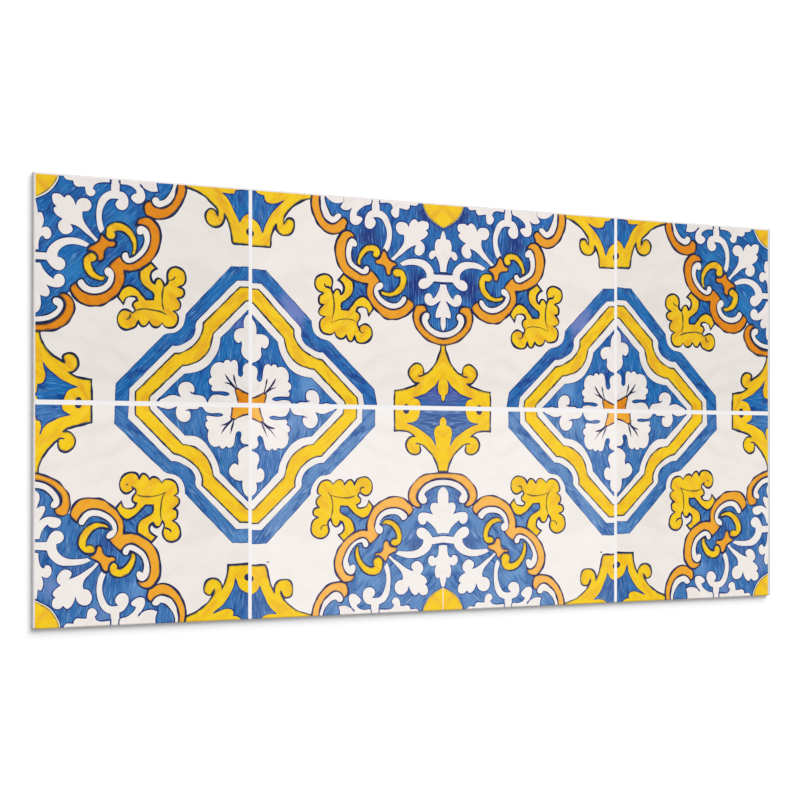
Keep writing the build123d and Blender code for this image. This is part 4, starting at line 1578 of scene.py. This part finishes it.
@dataclass
class Studio:
    """The floor, the soft light from the upper right, and the camera.

    Lengths are in metres and angles in degrees. The camera's eye, its backward and its upward
    direction were fitted to the photograph's view of the face.
    """

    floor_size: float = 8.0
    floor_glow: float = 0.06
    floor_drop: float = 0.0002
    floor_colour: tuple[float, float, float, float] = (0.96, 0.96, 0.96, 1.0)
    white: tuple[float, float, float, float] = (1.0, 1.0, 1.0, 1.0)
    sun_strength: float = 3.22
    sun_spread: float = 50.0
    sun_azimuth: float = 64.0
    sun_elevation: float = 43.0
    sky: float = 0.3
    lens: float = 70.2
    sensor: float = 36.0
    shift: float = 0.0636
    nearest: float = 0.01
    farthest: float = 50.0
    eye: tuple[float, float, float] = (-0.5181, -0.0371, 1.0277)
    back: tuple[float, float, float] = (-0.4268, -0.0038, 0.9044)
    up: tuple[float, float, float] = (-0.0024, 1.0, 0.0031)

    def floor(self) -> bpy.types.Object:
        """Lays the white floor that keeps the panel's shadow."""
        graph = Graph("studio_floor")
        diffuse = graph.node("ShaderNodeBsdfDiffuse", {}, {"Color": self.floor_colour})
        strength = graph.background_rays() * self.floor_glow
        glow = graph.node("ShaderNodeEmission", {}, {"Color": self.white, "Strength": strength})
        both = graph.node("ShaderNodeAddShader", {}, {0: diffuse.outputs[0], 1: glow.outputs[0]})
        graph.node("ShaderNodeOutputMaterial", {}, {"Surface": both.outputs[0]})
        mesh = bmesh.new()
        bmesh.ops.create_grid(mesh, x_segments=1, y_segments=1, size=self.floor_size / 2)
        bmesh.ops.translate(mesh, vec=(0, 0, -self.floor_drop), verts=mesh.verts[:])
        made = object_from(mesh, "studio_floor", graph.made)
        return made

    def light(self) -> None:
        """Sets the soft key light and the even light of the room."""
        lamp = bpy.data.lights.new("key_light", "SUN")
        lamp.energy = self.sun_strength
        lamp.angle = math.radians(self.sun_spread)
        made = bpy.data.objects.new("key_light", lamp)
        azimuth, elevation = math.radians(self.sun_azimuth), math.radians(self.sun_elevation)
        level = math.cos(elevation)
        towards = Vector((math.cos(azimuth) * level, math.sin(azimuth) * level, math.sin(elevation)))
        made.rotation_mode = "QUATERNION"
        made.rotation_quaternion = towards.to_track_quat("Z", "Y")
        bpy.context.scene.collection.objects.link(made)
        graph = Graph("studio", "worlds")
        strength = self.sky + (1 - self.sky) * graph.background_rays()
        room = graph.node("ShaderNodeBackground", {}, {"Color": self.white, "Strength": strength})
        graph.node("ShaderNodeOutputWorld", {}, {"Surface": room.outputs[0]})
        bpy.context.scene.world = graph.made

    def camera(self) -> None:
        """Stands the camera where the photograph was taken from."""
        data = bpy.data.cameras.new("camera")
        data.lens = self.lens
        data.sensor_width = self.sensor
        data.shift_y = self.shift
        data.clip_start = self.nearest
        data.clip_end = self.farthest
        made = bpy.data.objects.new("camera", data)
        back = Vector(self.back).normalized()
        right = Vector(self.up).cross(back).normalized()
        up = back.cross(right)
        turn = Matrix((right, up, back)).transposed()
        made.matrix_world = Matrix.Translation(Vector(self.eye)) @ turn.to_4x4()
        bpy.context.scene.collection.objects.link(made)
        bpy.context.scene.camera = made


BLUE_WASHES = (
    Wash("A", (8, 84), 9, (20, 82, 146), 0.6),
    Wash("A", (30, 6), 9, (18, 72, 140), 0.6),
    Wash("A", (48, 50), 9, (22, 60, 138), 0.7),
    Wash("A", (72, 14), 9, (40, 76, 146), 0.6),
    Wash("A", (24, 64), 9, (44, 126, 186), 0.6),
    Wash("A", (60, 30), 9, (50, 126, 186), 0.5),
    Wash("A", (78, 68), 8, (24, 62, 144), 0.6),
    Wash("A", (139, 92), 9, (112, 118, 192), 0.6),
    Wash("A", (114, 92), 12, (18, 66, 140), 0.5),
    Wash("B", (60, 28), 13, (22, 34, 110), 0.9),
    Wash("B", (22, 62), 13, (24, 32, 112), 0.9),
    Wash("B", (14, 8), 12, (26, 38, 116), 0.85),
    Wash("B", (36, 42), 8, (74, 136, 200), 0.5),
    Wash("B", (90, 9), 8, (32, 108, 184), 0.6),
    Wash("B", (53, 52), 9, (34, 116, 182), 0.6),
    # A pale lilac patch on the frame, partly the paint's own tone and partly a painted sheen highlight of the
    # laminate.
    Wash("B", (118, 84), 15, (122, 130, 190), 0.8),
    Wash("B", (8, 142), 10, (92, 86, 158), 0.7),
    Wash("B", (106, 138), 14, (108, 156, 208), 0.7),
    Wash("C", (50, 56), 11, (30, 66, 136), 0.8),
    Wash("C", (30, 38), 10, (52, 78, 146), 0.6),
    Wash("C", (10, 28), 10, (116, 136, 190), 0.6),
    Wash("C", (70, 22), 10, (96, 144, 200), 0.7),
    Wash("C", (45, 8), 9, (112, 140, 192), 0.6),
    Wash("C", (145, 57), 13, (96, 148, 202), 0.7),
    Wash("D", (22, 51), 10, (66, 82, 144), 0.7),
    Wash("D", (14, 84), 9, (60, 84, 150), 0.7),
    Wash("D", (145, 57), 13, (54, 98, 164), 0.8),
    Wash("D", (10, 142), 17, (58, 86, 150), 0.85),
    Wash("D", (145, 12), 16, (44, 86, 150), 0.85),
    Wash("D", (138, 108), 26, (60, 108, 172), 0.85),
    Wash("D", (60, 30), 12, (112, 158, 208), 0.6),
)

FINISHES: dict[Paint, Finish] = {
    Paint.GLAZE: BrushedPaint(
        "glaze_ground",
        body=((232, 226, 221), (239, 232, 227), (239, 232, 227), (247, 241, 237)),
        deep=((226, 219, 214), (233, 226, 221), (233, 226, 220), (242, 236, 230)),
        light=((237, 232, 228), (244, 238, 234), (243, 238, 233), (250, 246, 242)),
        pool_scale=0.45,
        streak=0.18,
        streak_scale=1.3,
    ),
    Paint.WHITE: BrushedPaint(
        "white_ornament",
        body=((233, 227, 223), (239, 232, 228), (240, 234, 229), (247, 241, 237)),
        deep=((227, 220, 216), (233, 225, 222), (235, 227, 222), (242, 234, 230)),
        light=((241, 238, 238), (246, 242, 242), (248, 243, 241), (252, 249, 247)),
        pool_scale=0.9,
        streak=0.2,
        streak_scale=2.0,
    ),
    Paint.BLUE: BrushedPaint(
        "blue_ornament",
        body=((20, 100, 168), (35, 102, 170), (56, 113, 175), (98, 139, 192)),
        deep=((6, 58, 130), (16, 54, 132), (18, 72, 140), (42, 88, 152)),
        light=((106, 164, 214), (110, 164, 218), (134, 176, 218), (162, 194, 230)),
        streak=0.88,
        streak_scale=11.0,
        washes=BLUE_WASHES,
    ),
    Paint.YELLOW: BrushedPaint(
        "yellow_ornament",
        body=((236, 192, 20), (244, 202, 28), (244, 202, 26), (249, 207, 38)),
        deep=((224, 164, 26), (232, 174, 30), (236, 178, 34), (242, 188, 46)),
        light=((248, 212, 96), (252, 224, 108), (252, 224, 102), (254, 228, 122)),
        rim=((112, 110, 40), (130, 120, 44), (150, 134, 50), (176, 150, 70)),
        streak=0.42,
        streak_scale=10.0,
        rim_depth=1.2,
    ),
    Paint.ORANGE: BrushedPaint(
        "orange_ornament",
        body=((220, 134, 18), (234, 160, 42), (238, 168, 46), (250, 188, 92)),
        deep=((212, 120, 20), (230, 146, 36), (236, 154, 42), (247, 174, 84)),
        light=((238, 158, 54), (248, 180, 76), (250, 192, 88), (252, 204, 124)),
        rim=((136, 86, 34), (172, 116, 42), (188, 128, 46), (210, 150, 78)),
        streak=0.4,
        streak_scale=10.0,
        rim_depth=1.2,
    ),
    Paint.DEEP: BrushedPaint(
        "deep_blue_lines",
        body=((16, 50, 122), (24, 46, 122), (40, 64, 130), (60, 84, 150)),
        deep=((12, 26, 84), (18, 22, 88), (26, 36, 92), (44, 56, 120)),
        light=((28, 84, 158), (34, 80, 160), (74, 106, 166), (98, 128, 184)),
    ),
    Paint.CONTOUR: BrushedPaint(
        "dark_contours",
        body=((20, 34, 70), (24, 32, 74), (32, 44, 88), (62, 62, 106)),
        deep=((14, 16, 34), (18, 16, 42), (22, 22, 54), (44, 42, 80)),
        light=((30, 74, 122), (46, 64, 120), (58, 80, 132), (92, 98, 144)),
        streak=0.6,
        pool_scale=2.0,
    ),
    Paint.CREASE: BrushedPaint(
        "olive_creases",
        body=((84, 84, 50), (88, 80, 40), (110, 100, 50), (124, 108, 66)),
        deep=((50, 56, 50), (60, 54, 36), (66, 66, 52), (92, 80, 62)),
        light=((130, 122, 50), (140, 120, 44), (160, 138, 56), (170, 142, 72)),
        streak=0.6,
        pool_scale=2.0,
    ),
}

JOINTS = BrushedPaint(
    "tile_joints",
    body=((243, 240, 241), (246, 244, 244), (245, 242, 242), (248, 246, 246)),
    deep=((236, 232, 234), (239, 236, 238), (238, 234, 235), (242, 239, 240)),
    light=((248, 246, 247), (250, 249, 250), (250, 248, 248), (252, 251, 251)),
    streak=0.5,
)


def main() -> None:
    """Builds the panel and its studio."""
    logging.basicConfig(level=logging.INFO, format="%(name)s: %(message)s")
    bpy.context.scene.view_settings.view_transform = "Standard"
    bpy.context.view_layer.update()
    board = Board().dress()
    log.info("board dressed: %s", board.name)
    face = PrintedFace()
    face.build()
    for piece in face.pieces(FINISHES, JOINTS):
        log.info("printed piece: %s", piece.name)
    studio = Studio()
    studio.floor()
    studio.light()
    studio.camera()


if __name__ == "__main__":
    main()
